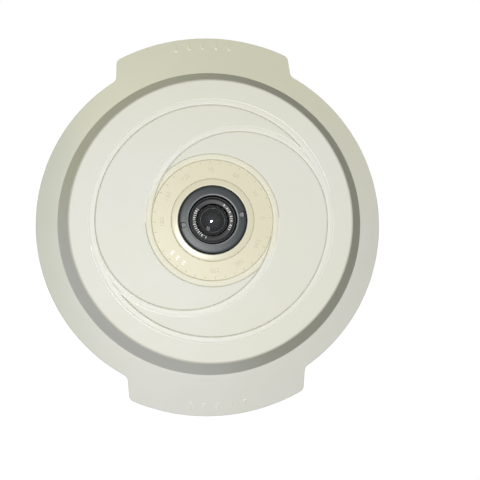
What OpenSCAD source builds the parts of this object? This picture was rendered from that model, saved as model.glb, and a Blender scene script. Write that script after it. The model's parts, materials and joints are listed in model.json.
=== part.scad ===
// Ceiling fisheye camera: a twist-off cover with two ears over a round housing.
// Z = 0 is the back of the mounting plate, +Z is the optical axis, and the ears lie along Y.

/* [Cover] */
// Diameter at the edge of the brim
brim_d = 150; // [148:1:154]
// Diameter across the two ears
ear_reach = 169; // [162:1:176]
// Width of each ear
ear_w = 77; // [60:1:90]
// Radius of the ears' outer corners
ear_corner_r = 3; // [1:0.5:5]
// Radius of the hollow corners where the ears meet the brim
ear_root_r = 3; // [1:0.5:5]
// Diameter where the grey wall meets the brim
foot_d = 129; // [127:0.5:131]
// Diameter where the grey wall meets the face
crown_d = 116; // [114:0.5:118]
// Height of the brim from its edge to the grey wall
brim_rise = 7.6; // [6:0.2:9]
// Height of the grey wall
wall_rise = 14; // [12:0.1:15]
// Rise of the face from its rim to the lens
face_rise = 1; // [0.5:0.1:1.5]
// Thickness of the cover
cover_wall = 2.2; // [1.8:0.1:2.6]
// Radius of the rounded edge between the wall and the face
crown_edge_r = 1.4; // [0.6:0.1:2]

/* [Face relief] */
// Inner radius of the large raised ring
large_rib_r = 47.5; // [44:0.5:52]
// Width of the two raised rings
ring_rib_w = 2.35; // [2:0.05:3]
// Width of the two raised half circles
arc_rib_w = 2.15; // [1.8:0.05:2.3]
// Height of the raised ribs
rib_h = 0.35; // [0.2:0.05:0.6]
// Width of the tan face ring
face_ring_w = 8; // [6:0.5:10]
// Thickness of the tan face ring
face_ring_t = 0.6; // [0.4:0.1:0.9]
// Width of the sloping collar round the lens
collar_w = 2.65; // [2:0.05:4]
// Height of the sloping collar above the face
collar_h = 0.8; // [0.4:0.1:1.2]
// Number of grip bars on each ear
grip_count = 5; // [3:1:7]
// Length of a grip bar
grip_l = 4.5; // [3:0.5:6]
// Width of a grip bar
grip_w = 1.3; // [0.8:0.1:2]
// Distance between grip bars
grip_pitch = 6; // [4:0.5:7]

/* [Lens] */
// Diameter of the barrel's thread
thread_d = 16; // [15:0.5:17]
// Wall of the tube that holds the barrel
tube_wall = 3.95; // [3:0.05:5]
// Height of the tube above its plate
tube_h = 3.6; // [3.2:0.1:5]
// Wall of the lock ring
ring_wall = 1.75; // [1.2:0.05:2.5]
// Height of the lock ring
ring_h = 5.2; // [4.6:0.1:5.6]
// Thickness of the lock ring's lip
lip_t = 2; // [1.6:0.1:2.4]
// How far the lock ring stands proud of the face
ring_proud = 1.4; // [1:0.1:2]
// Bevel round the lock ring's top
ring_bevel = 0.6; // [0.3:0.1:1]
// Width of the lock ring's two spanner notches
notch_w = 2.4; // [1.8:0.1:3]
// Depth of the notches
notch_depth = 1.2; // [0.8:0.1:1.5]
// Angle of the notches
notch_angle = 8; // [0:1:45]
// Diameter of the barrel's head
head_d = 18.9; // [18.4:0.1:19.6]
// Height of the head above its flange
head_h = 0.4; // [0.3:0.1:0.8]
// Thickness of the barrel's flange
flange_t = 0.6; // [0.5:0.1:0.9]
// Wall of the barrel's head
head_wall = 0.8; // [0.6:0.05:1]
// Diameter of the front glass at its edge
front_glass_d = 14.4; // [13:0.1:14.6]
// Thickness of the front glass at its edge
glass_edge_t = 1.7; // [1.2:0.1:2]
// Height of the front glass's dome
dome_h = 2.5; // [2:0.1:3]
// Diameter of the inner glass
inner_glass_d = 10.9; // [9:0.1:11.5]
// Thickness of the rear glass
rear_glass_t = 1.5; // [1:0.1:1.6]
// Thickness of the middle glass
middle_glass_t = 1.4; // [1:0.1:1.5]
// Opening of the aperture stop
aperture_d = 3.2; // [2:0.1:5]

/* [Night filter] */
// Side of each filter window
window_w = 8; // [7:0.5:9]
// Distance between the two windows, which is the carrier's travel
window_pitch = 9.5; // [9.5:0.1:10.5]
// Rim of the carrier beside the windows
carrier_rim = 1.5; // [1.2:0.1:2]
// Thickness of the carrier
carrier_t = 1.6; // [1.4:0.1:1.8]
// Thickness of a filter pane
pane_t = 0.5; // [0.3:0.1:0.7]
// Half of the lever's swing in degrees
half_swing = 35; // [30:1:38]
// Radius of the lever's pin
lever_pin_r = 0.7; // [0.5:0.1:0.9]
// Radius of the rotor magnet
rotor_r = 3; // [2.4:0.1:3.4]

/* [Housing] */
// Thickness of the mounting plate
plate_t = 2; // [1.5:0.1:3]
// Diameter of the mounting plate's cable hole
cable_hole_d = 34; // [28:1:40]
// Circle of the four ceiling screw holes
ceiling_pcd = 83.5; // [76:0.5:90]
// Diameter of the ceiling screw holes
ceiling_hole_d = 4.5; // [4:0.1:5.5]
// Thickness of the housing's floor
floor_t = 2.5; // [2:0.1:3.5]
// Thickness of the housing's wall
housing_wall = 2.2; // [1.8:0.1:2.6]
// Gap between the housing's rim and the cover's wall
rim_gap = 2.15; // [2:0.05:3]
// Height of the housing's rim above the wall's foot
rim_over = 2.4; // [1.5:0.1:3]
// Number of bayonet lugs
lug_count = 3; // [2:1:4]
// Angle that a bayonet lug covers
lug_span = 12; // [8:1:13]
// Angle that a bayonet ledge covers
ledge_span = 16; // [13:1:17]
// Number of screw feet
foot_count = 3; // [3:1:3]
// Width of a screw foot
foot_w = 8; // [7:0.5:10]
// Thickness of a screw foot
foot_t = 3; // [2:0.5:4]

/* [Boards] */
// Thickness of every circuit board
board_t = 1.6; // [1.2:0.1:2]
// Space between the lower and the main board
mid_bay = 4.4; // [4:0.1:6]
// Space under the sensor board
sensor_gap = 1; // [0.8:0.1:2]
// Height of the network socket
socket_h = 13; // [12.5:0.1:15]
// Width of the network socket
socket_w = 16; // [15.5:0.1:17]
// Depth of the network socket
socket_d = 13.2; // [13:0.1:14.5]
// Length of the memory card
card_l = 15; // [14:0.5:16]
// Width of the memory card
card_w = 11; // [10.5:0.1:11.5]
// Thickness of the memory card
card_t = 1; // [0.7:0.1:1.2]
// Distance of the reset button from the card
reset_y = 14; // [12:0.5:16]
// Travel of the reset button
reset_travel = 0.4; // [0.2:0.1:0.6]

/* [Hidden] */
$fn = 96;
// Overrun of every cut
over = 1;
// Radial clearance of a running fit
fit = 0.05;
// Free clearance between pieces that pass each other
gap = 0.3;
// Clearance of a sliding fit
slip = 0.15;

// Radii of the cover
brim_r = brim_d / 2;
foot_r = foot_d / 2;
crown_r = crown_d / 2;
ear_r = ear_reach / 2;

// Radii of the lens group, from the barrel outwards
thread_r = thread_d / 2;
tube_r = thread_r + fit + tube_wall;
ring_in_r = tube_r + fit;
ring_r = ring_in_r + ring_wall;
head_r = head_d / 2;
lip_gap = 0.85;
lip_r = head_r + lip_gap;
flange_lap = 0.7;
flange_r = lip_r + flange_lap;
front_r = front_glass_d / 2;
inner_r = inner_glass_d / 2;
name_r = head_r - head_wall;
lens_hole_r = ring_r + gap;
collar_r = lens_hole_r + collar_w;
collar_flat = 0.6;
tan_r = collar_r + face_ring_w;

// Heights, from the mounting plate up to the lens
floor_top = plate_t + floor_t;
socket_sink = 1;
mouth_z = plate_t + socket_sink;
io_z = mouth_z + socket_h;
io_top = io_z + board_t;
main_z = io_top + mid_bay;
main_top = main_z + board_t;
sensor_z = main_top + sensor_gap;
sensor_top = sensor_z + board_t;
sensor_chip_t = 1;
sensor_glass_t = 0.5;
rail_h = 2.3;
rail_z = sensor_top + rail_h;
carrier_z = rail_z + slip;
carrier_top = carrier_z + carrier_t;
case_top = carrier_top + slip;
mount_t = 2.6;
mount_top = case_top + mount_t;
barrel_lift = 0.6;
barrel_z = case_top + barrel_lift;
tube_top = mount_top + tube_h;
flange_z = tube_top + gap;
flange_top = flange_z + flange_t;
head_top = flange_top + head_h;
lip_z = flange_top + gap;
ring_top = lip_z + lip_t;
ring_z = ring_top - ring_h;
flange_web = 0.3;
name_z = flange_z + flange_web;
dome_top = name_z + dome_h;
glass_seat_z = name_z - glass_edge_t;

// Heights and slopes of the cover, which hangs from the lock ring's top
face_z = ring_top - ring_proud;
crown_z = face_z - face_rise;
foot_z = crown_z - wall_rise;
edge_z = foot_z - brim_rise;
foot_edge_r = crown_edge_r / 2;
crown_steps = 6;
foot_steps = 3;
face_slope = face_rise / crown_r;
wall_slope = wall_rise / (foot_r - crown_r);
brim_slope = brim_rise / (brim_r - foot_r);
wall_run = cover_wall / sin(atan(wall_slope));
brim_drop = cover_wall / cos(atan(brim_slope));

// The housing follows the cover's inside
rim_z = foot_z + rim_over;
housing_r = foot_r - rim_over / wall_slope - wall_run - rim_gap;
housing_in_r = housing_r - housing_wall;
plate_inset = 2.5;
ceiling_hole_count = 4;
plate_r = housing_r - plate_inset;
foot_out = 4.5;
foot_ring_r = housing_r + foot_out;
foot_turn = 30;
foot_screw_r = 1.5;
foot_head_r = 2.6;
foot_head_t = 2;

// Bayonet between the housing and the cover
ledge_out = 1.6;
ledge_t = 1.9;
ledge_drop = 2;
ledge_top = rim_z - ledge_drop;
ledge_z = ledge_top - ledge_t;
lug_t = 2;
lug_top = ledge_z - slip;
lug_z = lug_top - lug_t;
stop_span = 2.5;
stop_play = 0.5;
stop_in = 0.2;
stop_turn = lug_span / 2 + stop_play;
lug_turn = 60;
skirt_t = 1.6;
skirt_drop = 0.6;
skirt_gap = 0.35;
skirt_r = housing_r + ledge_out + skirt_gap;
skirt_z = lug_z - skirt_drop;

// Board outlines and the posts that carry them
board_gap = 1.5;
io_r = housing_in_r - board_gap;
main_inset = 2.5;
main_r = io_r - main_inset;
post_inset = 7;
post_ring_r = housing_in_r - post_inset;
post_r = 3.2;
post_turn = 45;
post_count = 4;
stud_r = 1;
stud_l = 5;
spacer_r = 2.6;
spacer_sides = 6;
screw_r = 0.8;
screw_l = 4;
screw_head_r = 2.2;
screw_head_t = 1.3;
cross_w_share = 0.33;
cross_l_share = 0.6;

// Network socket
shield_t = 0.3;
shield_h = 12;
plug_w = 11.9;
plug_d = 7;
plug_deep = 11.2;
plug_shift = 1.2;
latch_w = 6;
latch_d = 2.2;
contact_count = 8;
contact_pitch = 1.02;
contact_w = 0.4;
contact_t = 0.5;
contact_l = 8;
window_gap = 0.8;
socket_window_r = norm([socket_w / 2 + shield_t, socket_d / 2 + shield_t]) + window_gap;

// Memory card and its socket, under the lower board
card_tail = 0.6;
card_ridge = 1;
slot_roof = 1;
slot_floor = 0.4;
slot_side = 1.3;
slot_side_gap = 0.2;
card_z = io_z - slot_roof - slip - card_t;
card_out = housing_r + card_tail;
card_in = card_out - card_l;
slot_back = 1.4;
slot_reach = sqrt(pow(io_r, 2) - pow(card_w / 2 + slot_side, 2)) - gap;
card_window_gap = 0.4;

// Reset button, pressed along -X through the housing's wall
button_r = 1.2;
button_flange_r = 2;
button_flange_t = 0.8;
button_proud = 0.5;
button_drop = 2.4;
button_z = io_z - button_drop;
button_out = sqrt(pow(housing_r, 2) - pow(reset_y, 2)) + button_proud;
button_flange_x = sqrt(pow(housing_in_r, 2) - pow(reset_y + button_flange_r, 2)) - gap - button_flange_t;
switch_x = button_flange_x - reset_travel - gap;
switch_l = 4;
switch_w = 6;

// Night filter: carrier, its channel and the lever that moves it
pane_lip = 0.5;
pane_w = window_w + 2 * pane_lip;
carrier_half_w = window_w / 2 + carrier_rim;
carrier_end = window_w / 2 + carrier_rim;
carrier_mid = window_pitch / 2;
tab_wall = 1.2;
slot_play = 0.25;
tab_reach = 3;
pin_y = carrier_half_w + tab_reach;
arm_l = carrier_mid / sin(half_swing);
pivot_y = pin_y + arm_l * cos(half_swing);
pin_mid_y = pivot_y - arm_l;
slot_half_w = lever_pin_r + slot_play;
tab_half_w = slot_half_w + tab_wall;
tab_end = pin_y + slot_half_w + tab_wall;
chamber_gap = 0.5;
channel_half_l = window_pitch + carrier_end + chamber_gap;
chamber_half_w = carrier_mid + tab_half_w + chamber_gap;
chamber_floor = 0.7;
arm_w = 2;
arm_t = 1.1;
arm_z = sensor_top + chamber_floor + slip;
pivot_r = 1;
coil_r = 1.45;
coil_l = 7;
cheek_r = 1.7;
cheek_t = 0.7;
coil_y = pivot_y + rotor_r + chamber_gap + cheek_r;
yoke_t = 0.6;
yoke_y = pivot_y - rotor_r + chamber_gap;
yoke_x = coil_l / 2 + cheek_t;
chamber_end = coil_y + cheek_r + chamber_gap;
case_wall = 2;
case_half_l = channel_half_l + case_wall;
case_back = tube_r + chamber_gap;
case_front = chamber_end + case_wall;
case_screw_x = case_half_l - screw_head_r;
case_screw_back = case_back - screw_head_r;
case_screw_front = case_front - screw_head_r;
sensor_half_l = case_half_l + case_wall;
sensor_back = case_back + case_wall;
sensor_front = case_front + case_wall;
sensor_chip_w = 9;
sensor_glass_w = 7.6;
sensor_well = sensor_chip_w / 2 + 2 * chamber_gap;

// Barrel stack: lip, rear glass, stop, middle glass, spacer, front glass
barrel_lip = 0.4;
stop_t = 0.3;
rear_glass_z = barrel_z + barrel_lip;
aperture_z = rear_glass_z + rear_glass_t;
middle_glass_z = aperture_z + stop_t;
spacer_z = middle_glass_z + middle_glass_t;
spacer_wall = 0.8;
name_drop = 0.4;
middle_hollow_share = 0.8;
front_hollow_share = 0.9;
front_hollow_drop_share = 0.4;
dome_ball_r = (pow(front_r, 2) + pow(dome_h, 2)) / (2 * dome_h);

// Parts on the boards: width, depth, height, and their places from the lens axis
chip_size = [14, 14, 1.4];
chip_y = -36;
sink_size = [20, 20];
sink_base = 1.6;
sink_h = 7;
sink_fins = 7;
sink_fin_t = 1;
memory_size = [9, 13, 1.1];
memory_x = 20;
cell_r = 10;
cell_t = 3.2;
cell_place = [34, 5];
cell_wall = 1.2;
cell_floor = 0.6;
crystal_size = [4.5, 11, 3.4];
crystal_place = [-30, -16];
header_size = [6, 14, 6];
header_place = [-38, 9];
header_wall = 0.8;
header_pins = 4;
header_pitch = 2.5;
header_pin_w = 0.6;
header_pin_h = 4.5;
link_size = [6, 24];
link_place = [-38, 0];
transformer_size = [17, 14, 10];
transformer_place = [-30, 10];
transformer_core = 4;
transformer_rim = 1.4;
inductor_r = 6;
inductor_h = 6;
inductor_waist = 1.4;
inductor_place = [-26, -18];
capacitor_r = 4;
capacitor_h = 9.5;
capacitor_groove = 0.4;
capacitor_bead = 1.2;
capacitor_count = 3;
capacitor_pitch = 10;
capacitor_y = 30;
isolator_size = [13, 16, 6];
isolator_place = [24, -22];
resistor_size = [2, 1.2, 0.6];
resistor_ring_r = 43;
resistor_first_angle = 62;
resistor_step_angle = 8;
resistor_last_angle = 118;

// Point where the line through p with slope m meets the line through q with slope n
function meet(p, m, q, n) =
    let (r = (q.y - p.y + m * p.x - n * q.x) / (m - n)) [r, p.y + m * (r - p.x)];

// Arc of radius r that rounds the corner at b between the points a and c
function rounded(a, b, c, r, n) =
    let (
        u = (a - b) / norm(a - b),
        v = (c - b) / norm(c - b),
        half = acos(u * v) / 2,
        m = b + (u + v) / norm(u + v) * r / sin(half),
        s = b + u * r / tan(half),
        e = b + v * r / tan(half),
        start = atan2(s.y - m.y, s.x - m.x),
        turn = (180 - 2 * half) * sign(cross(s - m, e - m))
    )
    [for (i = [0 : n]) m + r * [cos(start + turn * i / n), sin(start + turn * i / n)]];

// Heights of the cover's outer surfaces at radius r
function face_at(r) = face_z - face_slope * r;
function brim_at(r) = edge_z + brim_slope * (brim_r - r);

// Radius of the front glass's dome at height z
function dome_at(z) = sqrt(pow(dome_ball_r, 2) - pow(dome_ball_r - (dome_top - z), 2));

module ring(outer_r, hole_r, h) {
    difference() {
        cylinder(r = outer_r, h = h);
        translate([0, 0, -over]) cylinder(r = hole_r, h = h + 2 * over);
    }
}

module block(size) {
    translate([-size.x / 2, -size.y / 2, 0]) cube(size);
}

module at_posts() {
    for (i = [0 : post_count - 1])
        rotate([0, 0, post_turn + i * 360 / post_count]) translate([post_ring_r, 0, 0]) children();
}

module at_feet() {
    for (i = [0 : foot_count - 1])
        rotate([0, 0, foot_turn + i * 360 / foot_count]) children();
}

module at_lugs() {
    for (i = [0 : lug_count - 1])
        rotate([0, 0, lug_turn + i * 360 / lug_count]) children();
}

module at_case_screws() {
    for (side = [-1, 1], y = [-case_screw_back, case_screw_front])
        translate([side * case_screw_x, y, 0]) children();
}

// Ring sector from angle a over the given span
module sector(inner, outer, a, span, z, h) {
    translate([0, 0, z]) rotate([0, 0, a]) rotate_extrude(angle = span)
        translate([inner, 0]) square([outer - inner, h]);
}

// Foot outline, from the axis to the rounded end
module foot_plan() {
    translate([0, -foot_w / 2]) square([foot_ring_r, foot_w]);
    translate([foot_ring_r, 0]) circle(r = foot_w / 2);
}

module pan_screw(head_r, head_t, shank_r, shank_l) {
    cross_w = head_r * cross_w_share;
    cross_half_l = head_r * cross_l_share;
    cross_depth = head_t / 2;
    difference() {
        cylinder(r = head_r, h = head_t);
        for (a = [0, 90]) rotate([0, 0, a])
            translate([-cross_half_l, -cross_w / 2, head_t - cross_depth])
                cube([2 * cross_half_l, cross_w, cross_depth + over]);
    }
    translate([0, 0, -shank_l]) cylinder(r = shank_r, h = shank_l);
}

module mounting_plate() {
    color("silver") difference() {
        union() {
            cylinder(r = plate_r, h = plate_t);
            at_feet() linear_extrude(plate_t) foot_plan();
        }
        translate([0, 0, -over]) {
            cylinder(d = cable_hole_d, h = plate_t + 2 * over);
            for (i = [0 : ceiling_hole_count - 1])
                rotate([0, 0, post_turn + i * 360 / ceiling_hole_count])
                    translate([ceiling_pcd / 2, 0, 0])
                        cylinder(d = ceiling_hole_d, h = plate_t + 2 * over);
            at_feet() translate([foot_ring_r, 0, 0])
                cylinder(r = foot_screw_r + fit, h = plate_t + 2 * over);
        }
    }
}

module rear_housing() {
    color("gainsboro") difference() {
        union() {
            difference() {
                union() {
                    translate([0, 0, plate_t]) cylinder(r = housing_r, h = rim_z - plate_t);
                    at_feet() translate([0, 0, plate_t]) linear_extrude(foot_t) foot_plan();
                    at_lugs() {
                        sector(housing_r - housing_wall / 2, housing_r + ledge_out,
                            -stop_turn - stop_span, stop_turn + stop_span + ledge_span / 2,
                            ledge_z, ledge_t);
                        sector(housing_r - housing_wall / 2, housing_r + ledge_out - stop_in,
                            -stop_turn - stop_span + stop_in, stop_span - stop_in,
                            lug_z, ledge_z - lug_z + stop_in);
                    }
                }
                translate([0, 0, floor_top]) cylinder(r = housing_in_r, h = rim_z);
            }
            at_posts() translate([0, 0, plate_t]) cylinder(r = post_r, h = io_z - plate_t);
        }
        cylinder(r = socket_window_r, h = floor_top + over);
        at_posts() translate([0, 0, io_z - stud_l - gap]) cylinder(r = stud_r + fit, h = stud_l + over);
        at_feet() translate([foot_ring_r, 0, 0])
            cylinder(r = foot_screw_r + slip, h = plate_t + foot_t + over);
        translate([0, -card_w / 2 - card_window_gap, card_z - card_window_gap])
            cube([card_out, card_w + 2 * card_window_gap, card_t + 2 * card_window_gap]);
        translate([0, reset_y, button_z]) rotate([0, 90, 0])
            cylinder(r = button_r + gap, h = housing_r);
    }
}

module housing_screws() {
    color("dimgray") at_feet() translate([foot_ring_r, 0, plate_t + foot_t])
        pan_screw(foot_head_r, foot_head_t, foot_screw_r, foot_t + plate_t - gap);
}

module lower_board() {
    color("darkgreen") translate([0, 0, io_z]) difference() {
        cylinder(r = io_r, h = board_t);
        at_posts() translate([0, 0, -over]) cylinder(r = stud_r + slip, h = board_t + 2 * over);
    }
}

module network_socket() {
    color("dimgray") translate([0, 0, mouth_z]) difference() {
        block([socket_w, socket_d, socket_h]);
        translate([-plug_w / 2, -plug_d / 2 + plug_shift, -over])
            cube([plug_w, plug_d, plug_deep + over]);
        translate([-latch_w / 2, -plug_d / 2 + plug_shift - latch_d, -over])
            cube([latch_w, latch_d + over, plug_deep + over]);
    }
}

module network_shield() {
    color("silver") translate([0, 0, io_z - shield_h]) difference() {
        block([socket_w + 2 * shield_t, socket_d + 2 * shield_t, shield_h]);
        translate([0, 0, -over]) block([socket_w, socket_d, shield_h + 2 * over]);
    }
}

module network_contacts() {
    color("gold") for (i = [0 : contact_count - 1])
        translate([(i - (contact_count - 1) / 2) * contact_pitch - contact_w / 2,
            plug_d / 2 + plug_shift - contact_t, mouth_z + plug_deep - contact_l])
            cube([contact_w, contact_t, contact_l]);
}

module power_transformer() {
    place = [transformer_place.x, transformer_place.y, io_z - transformer_size.z];
    waist = [transformer_size.x - 2 * transformer_rim, transformer_size.y,
        transformer_size.z - 2 * transformer_rim];
    color("darkkhaki") translate(place) difference() {
        block(transformer_size);
        for (side = [-1, 1])
            translate([0, side * (transformer_size.y + transformer_core) / 2, transformer_rim])
                block(waist);
    }
}

module power_inductor() {
    color("dimgray") translate([inductor_place.x, inductor_place.y, io_z - inductor_h])
        rotate_extrude() polygon([[0, 0], [inductor_r, 0], [inductor_r, inductor_waist],
            [inductor_r - inductor_waist, inductor_waist],
            [inductor_r - inductor_waist, inductor_h - inductor_waist],
            [inductor_r, inductor_h - inductor_waist], [inductor_r, inductor_h], [0, inductor_h]]);
}

module capacitors() {
    neck = capacitor_r - capacitor_groove;
    groove_z = capacitor_h - capacitor_bead;
    color("steelblue") for (i = [0 : capacitor_count - 1])
        translate([(i - (capacitor_count - 1) / 2) * capacitor_pitch, capacitor_y,
            io_z - capacitor_h])
            rotate_extrude() polygon([[0, 0], [neck, 0], [capacitor_r, capacitor_groove],
                [capacitor_r, groove_z - capacitor_groove], [neck, groove_z],
                [capacitor_r, groove_z + capacitor_groove], [capacitor_r, capacitor_h],
                [0, capacitor_h]]);
}

module network_isolator() {
    color("dimgray") translate([isolator_place.x, isolator_place.y, io_z - isolator_size.z])
        block(isolator_size);
}

module card_socket() {
    half_w = card_w / 2 + slot_side_gap;
    color("silver") difference() {
        translate([card_in - slot_back, -card_w / 2 - slot_side, card_z - slip - slot_floor])
            cube([slot_reach - card_in + slot_back, card_w + 2 * slot_side,
                slot_floor + 2 * slip + card_t + slot_roof]);
        translate([card_in - gap, -half_w, card_z - slip])
            cube([card_l, 2 * half_w, card_t + 2 * slip]);
    }
}

module reset_switch() {
    color("silver") translate([switch_x - switch_l, reset_y - switch_w / 2,
        button_z - (io_z - button_z)])
        cube([switch_l, switch_w, 2 * (io_z - button_z)]);
}

module board_link() {
    color("ivory") translate([link_place.x, link_place.y, io_top])
        block([link_size.x, link_size.y, mid_bay]);
}

module board_spacers() {
    color("goldenrod") at_posts() {
        translate([0, 0, io_top]) difference() {
            cylinder(r = spacer_r, h = mid_bay, $fn = spacer_sides);
            translate([0, 0, gap]) cylinder(r = screw_r + fit, h = mid_bay);
        }
        translate([0, 0, io_z - stud_l + board_t]) cylinder(r = stud_r, h = stud_l);
    }
}

module board_screws() {
    color("silver") at_posts() translate([0, 0, main_top])
        pan_screw(screw_head_r, screw_head_t, screw_r, screw_l);
}

module main_board() {
    color("darkgreen") translate([0, 0, main_z]) difference() {
        cylinder(r = main_r, h = board_t);
        translate([0, 0, -over]) {
            at_posts() cylinder(r = screw_r + slip, h = board_t + 2 * over);
            at_case_screws() cylinder(r = screw_r + fit, h = board_t + 2 * over);
        }
    }
}

module processor() {
    color("dimgray") translate([0, chip_y, main_top]) block(chip_size);
}

module heat_sink() {
    fin_pitch = (sink_size.x - sink_fin_t) / (sink_fins - 1);
    color("silver") translate([0, chip_y, main_top + chip_size.z]) {
        block([sink_size.x, sink_size.y, sink_base]);
        for (i = [0 : sink_fins - 1])
            translate([-sink_size.x / 2 + i * fin_pitch, -sink_size.y / 2, 0])
                cube([sink_fin_t, sink_size.y, sink_h]);
    }
}

module memory_chips() {
    color("dimgray") for (side = [-1, 1])
        translate([side * memory_x, chip_y, main_top]) block(memory_size);
}

module clock_crystal() {
    color("silver") translate([crystal_place.x, crystal_place.y, main_top]) block(crystal_size);
}

module battery_holder() {
    color("dimgray") translate([cell_place.x, cell_place.y, main_top]) difference() {
        cylinder(r = cell_r + slip + cell_wall, h = cell_floor + cell_t);
        translate([0, 0, cell_floor]) cylinder(r = cell_r + slip, h = cell_t + over);
    }
}

module clock_battery() {
    step = cell_floor / 2;
    color("silver") translate([cell_place.x, cell_place.y, main_top + cell_floor])
        rotate_extrude() polygon([[0, 0], [cell_r - 2 * step, 0], [cell_r - 2 * step, step],
            [cell_r, step], [cell_r, cell_t], [0, cell_t]]);
}

module service_header() {
    color("ivory") translate([header_place.x, header_place.y, main_top]) difference() {
        block(header_size);
        translate([0, 0, header_wall])
            block([header_size.x - 2 * header_wall, header_size.y - 2 * header_wall, header_size.z]);
    }
}

module header_pins() {
    color("gold") for (i = [0 : header_pins - 1])
        translate([header_place.x, header_place.y + (i - (header_pins - 1) / 2) * header_pitch,
            main_top + header_wall])
            block([header_pin_w, header_pin_w, header_pin_h]);
}

module chip_resistors() {
    color("dimgray") for (a = [resistor_first_angle : resistor_step_angle : resistor_last_angle])
        rotate([0, 0, a]) translate([resistor_ring_r, 0, main_top]) block(resistor_size);
}

module sensor_board() {
    color("darkgreen") difference() {
        translate([-sensor_half_l, -sensor_back, sensor_z])
            cube([2 * sensor_half_l, sensor_back + sensor_front, board_t]);
        at_case_screws() translate([0, 0, sensor_z - over])
            cylinder(r = screw_r + slip, h = board_t + 2 * over);
    }
}

module sensor_spacers() {
    color("silver") at_case_screws() translate([0, 0, main_top])
        ring(screw_head_r, screw_r + slip, sensor_gap);
}

module image_sensor() {
    color("dimgray") translate([0, 0, sensor_top])
        block([sensor_chip_w, sensor_chip_w, sensor_chip_t]);
}

module sensor_glass() {
    color("lightblue") translate([0, 0, sensor_top + sensor_chip_t])
        block([sensor_glass_w, sensor_glass_w, sensor_glass_t]);
}

module filter_case() {
    color("dimgray") {
        difference() {
            translate([-case_half_l, -case_back, sensor_top])
                cube([2 * case_half_l, case_back + case_front, case_top - sensor_top]);
            translate([-channel_half_l, -carrier_half_w - slip, rail_z])
                cube([2 * channel_half_l, 2 * (carrier_half_w + slip), case_top]);
            translate([-sensor_well, -sensor_well, sensor_top - over])
                cube([2 * sensor_well, 2 * sensor_well, case_top]);
            translate([-chamber_half_w, carrier_half_w - arm_w / 2, sensor_top + chamber_floor])
                cube([2 * chamber_half_w, chamber_end - carrier_half_w + arm_w / 2, case_top]);
            at_case_screws() translate([0, 0, sensor_top - over])
                cylinder(r = screw_r + slip, h = case_top);
        }
        translate([0, pivot_y, sensor_top])
            cylinder(r = pivot_r, h = carrier_top - sensor_top);
    }
}

module filter_coil() {
    color("chocolate") translate([-coil_l / 2 - cheek_t, coil_y, sensor_top + chamber_floor + cheek_r])
        rotate([0, 90, 0]) {
            cylinder(r = coil_r, h = coil_l + 2 * cheek_t);
            for (x = [0, coil_l + cheek_t]) translate([0, 0, x]) cylinder(r = cheek_r, h = cheek_t);
        }
}

module coil_yoke() {
    color("silver") for (side = [-1, 1])
        translate([side * yoke_x + (side - 1) / 2 * yoke_t, yoke_y, sensor_top + chamber_floor])
            cube([yoke_t, coil_y - yoke_y + cheek_r, carrier_top - sensor_top - chamber_floor]);
}

module lens_mount() {
    color("dimgray") difference() {
        union() {
            translate([-case_half_l, -case_back, case_top])
                cube([2 * case_half_l, case_back + case_front, mount_t]);
            translate([0, 0, case_top]) cylinder(r = tube_r, h = tube_top - case_top);
        }
        translate([0, 0, case_top - over]) cylinder(r = thread_r + fit, h = tube_top);
        at_case_screws() translate([0, 0, case_top - over])
            cylinder(r = screw_r + slip, h = mount_t + 2 * over);
    }
}

module lens_screws() {
    color("silver") at_case_screws() translate([0, 0, mount_top])
        pan_screw(screw_head_r - 2 * fit, screw_head_t, screw_r, mount_top - main_z);
}

module filter_carrier() {
    color("dimgray") translate([0, 0, carrier_z]) difference() {
        union() {
            translate([-carrier_end, -carrier_half_w, 0])
                cube([window_pitch + 2 * carrier_end, 2 * carrier_half_w, carrier_t]);
            translate([carrier_mid - tab_half_w, 0, 0])
                cube([2 * tab_half_w, tab_end, carrier_t]);
        }
        for (x = [0, window_pitch]) translate([x, 0, 0]) {
            translate([0, 0, -over]) block([window_w, window_w, carrier_t + 2 * over]);
            translate([0, 0, carrier_t - pane_t]) block([pane_w, pane_w, pane_t + over]);
        }
        translate([carrier_mid - slot_half_w, pin_mid_y - slot_half_w, -over])
            cube([2 * slot_half_w, pin_y - pin_mid_y + 2 * slot_half_w, carrier_t + 2 * over]);
    }
}

module filter_pane(x) {
    translate([x, 0, carrier_top - pane_t]) block([pane_w - 2 * fit, pane_w - 2 * fit, pane_t]);
}

module infrared_filter() {
    color("lightcoral") filter_pane(0);
}

module clear_filter() {
    color("lightblue") filter_pane(window_pitch);
}

module filter_lever() {
    color("ivory") translate([0, pivot_y, arm_z]) rotate([0, 0, half_swing]) {
        difference() {
            union() {
                cylinder(r = rotor_r, h = arm_t);
                translate([-arm_w / 2, -arm_l, 0]) cube([arm_w, arm_l, arm_t]);
                translate([0, -arm_l, 0]) cylinder(r = arm_w / 2, h = arm_t);
            }
            translate([0, 0, -over]) cylinder(r = pivot_r + fit, h = arm_t + 2 * over);
        }
        translate([0, -arm_l, 0]) cylinder(r = lever_pin_r, h = carrier_top - arm_z - slip);
    }
}

module rotor_magnet() {
    color("dimgray") translate([0, pivot_y, arm_z + arm_t])
        ring(rotor_r, pivot_r + fit, carrier_top - arm_z - arm_t - slip);
}

module lens_barrel() {
    color("darkslategray") difference() {
        union() {
            translate([0, 0, barrel_z]) cylinder(r = thread_r, h = flange_z - barrel_z);
            translate([0, 0, flange_z]) cylinder(r = flange_r, h = flange_t);
            translate([0, 0, flange_z]) cylinder(r = head_r, h = head_top - flange_z);
        }
        translate([0, 0, barrel_z - over]) cylinder(r = inner_r - spacer_wall, h = head_top);
        translate([0, 0, rear_glass_z]) cylinder(r = inner_r + fit, h = head_top);
        translate([0, 0, glass_seat_z]) cylinder(r = front_r + fit, h = head_top);
        translate([0, 0, name_z]) cylinder(r = name_r + fit, h = head_top);
    }
}

module rear_glass() {
    color("lightblue") translate([0, 0, rear_glass_z]) cylinder(r = inner_r, h = rear_glass_t);
}

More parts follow.
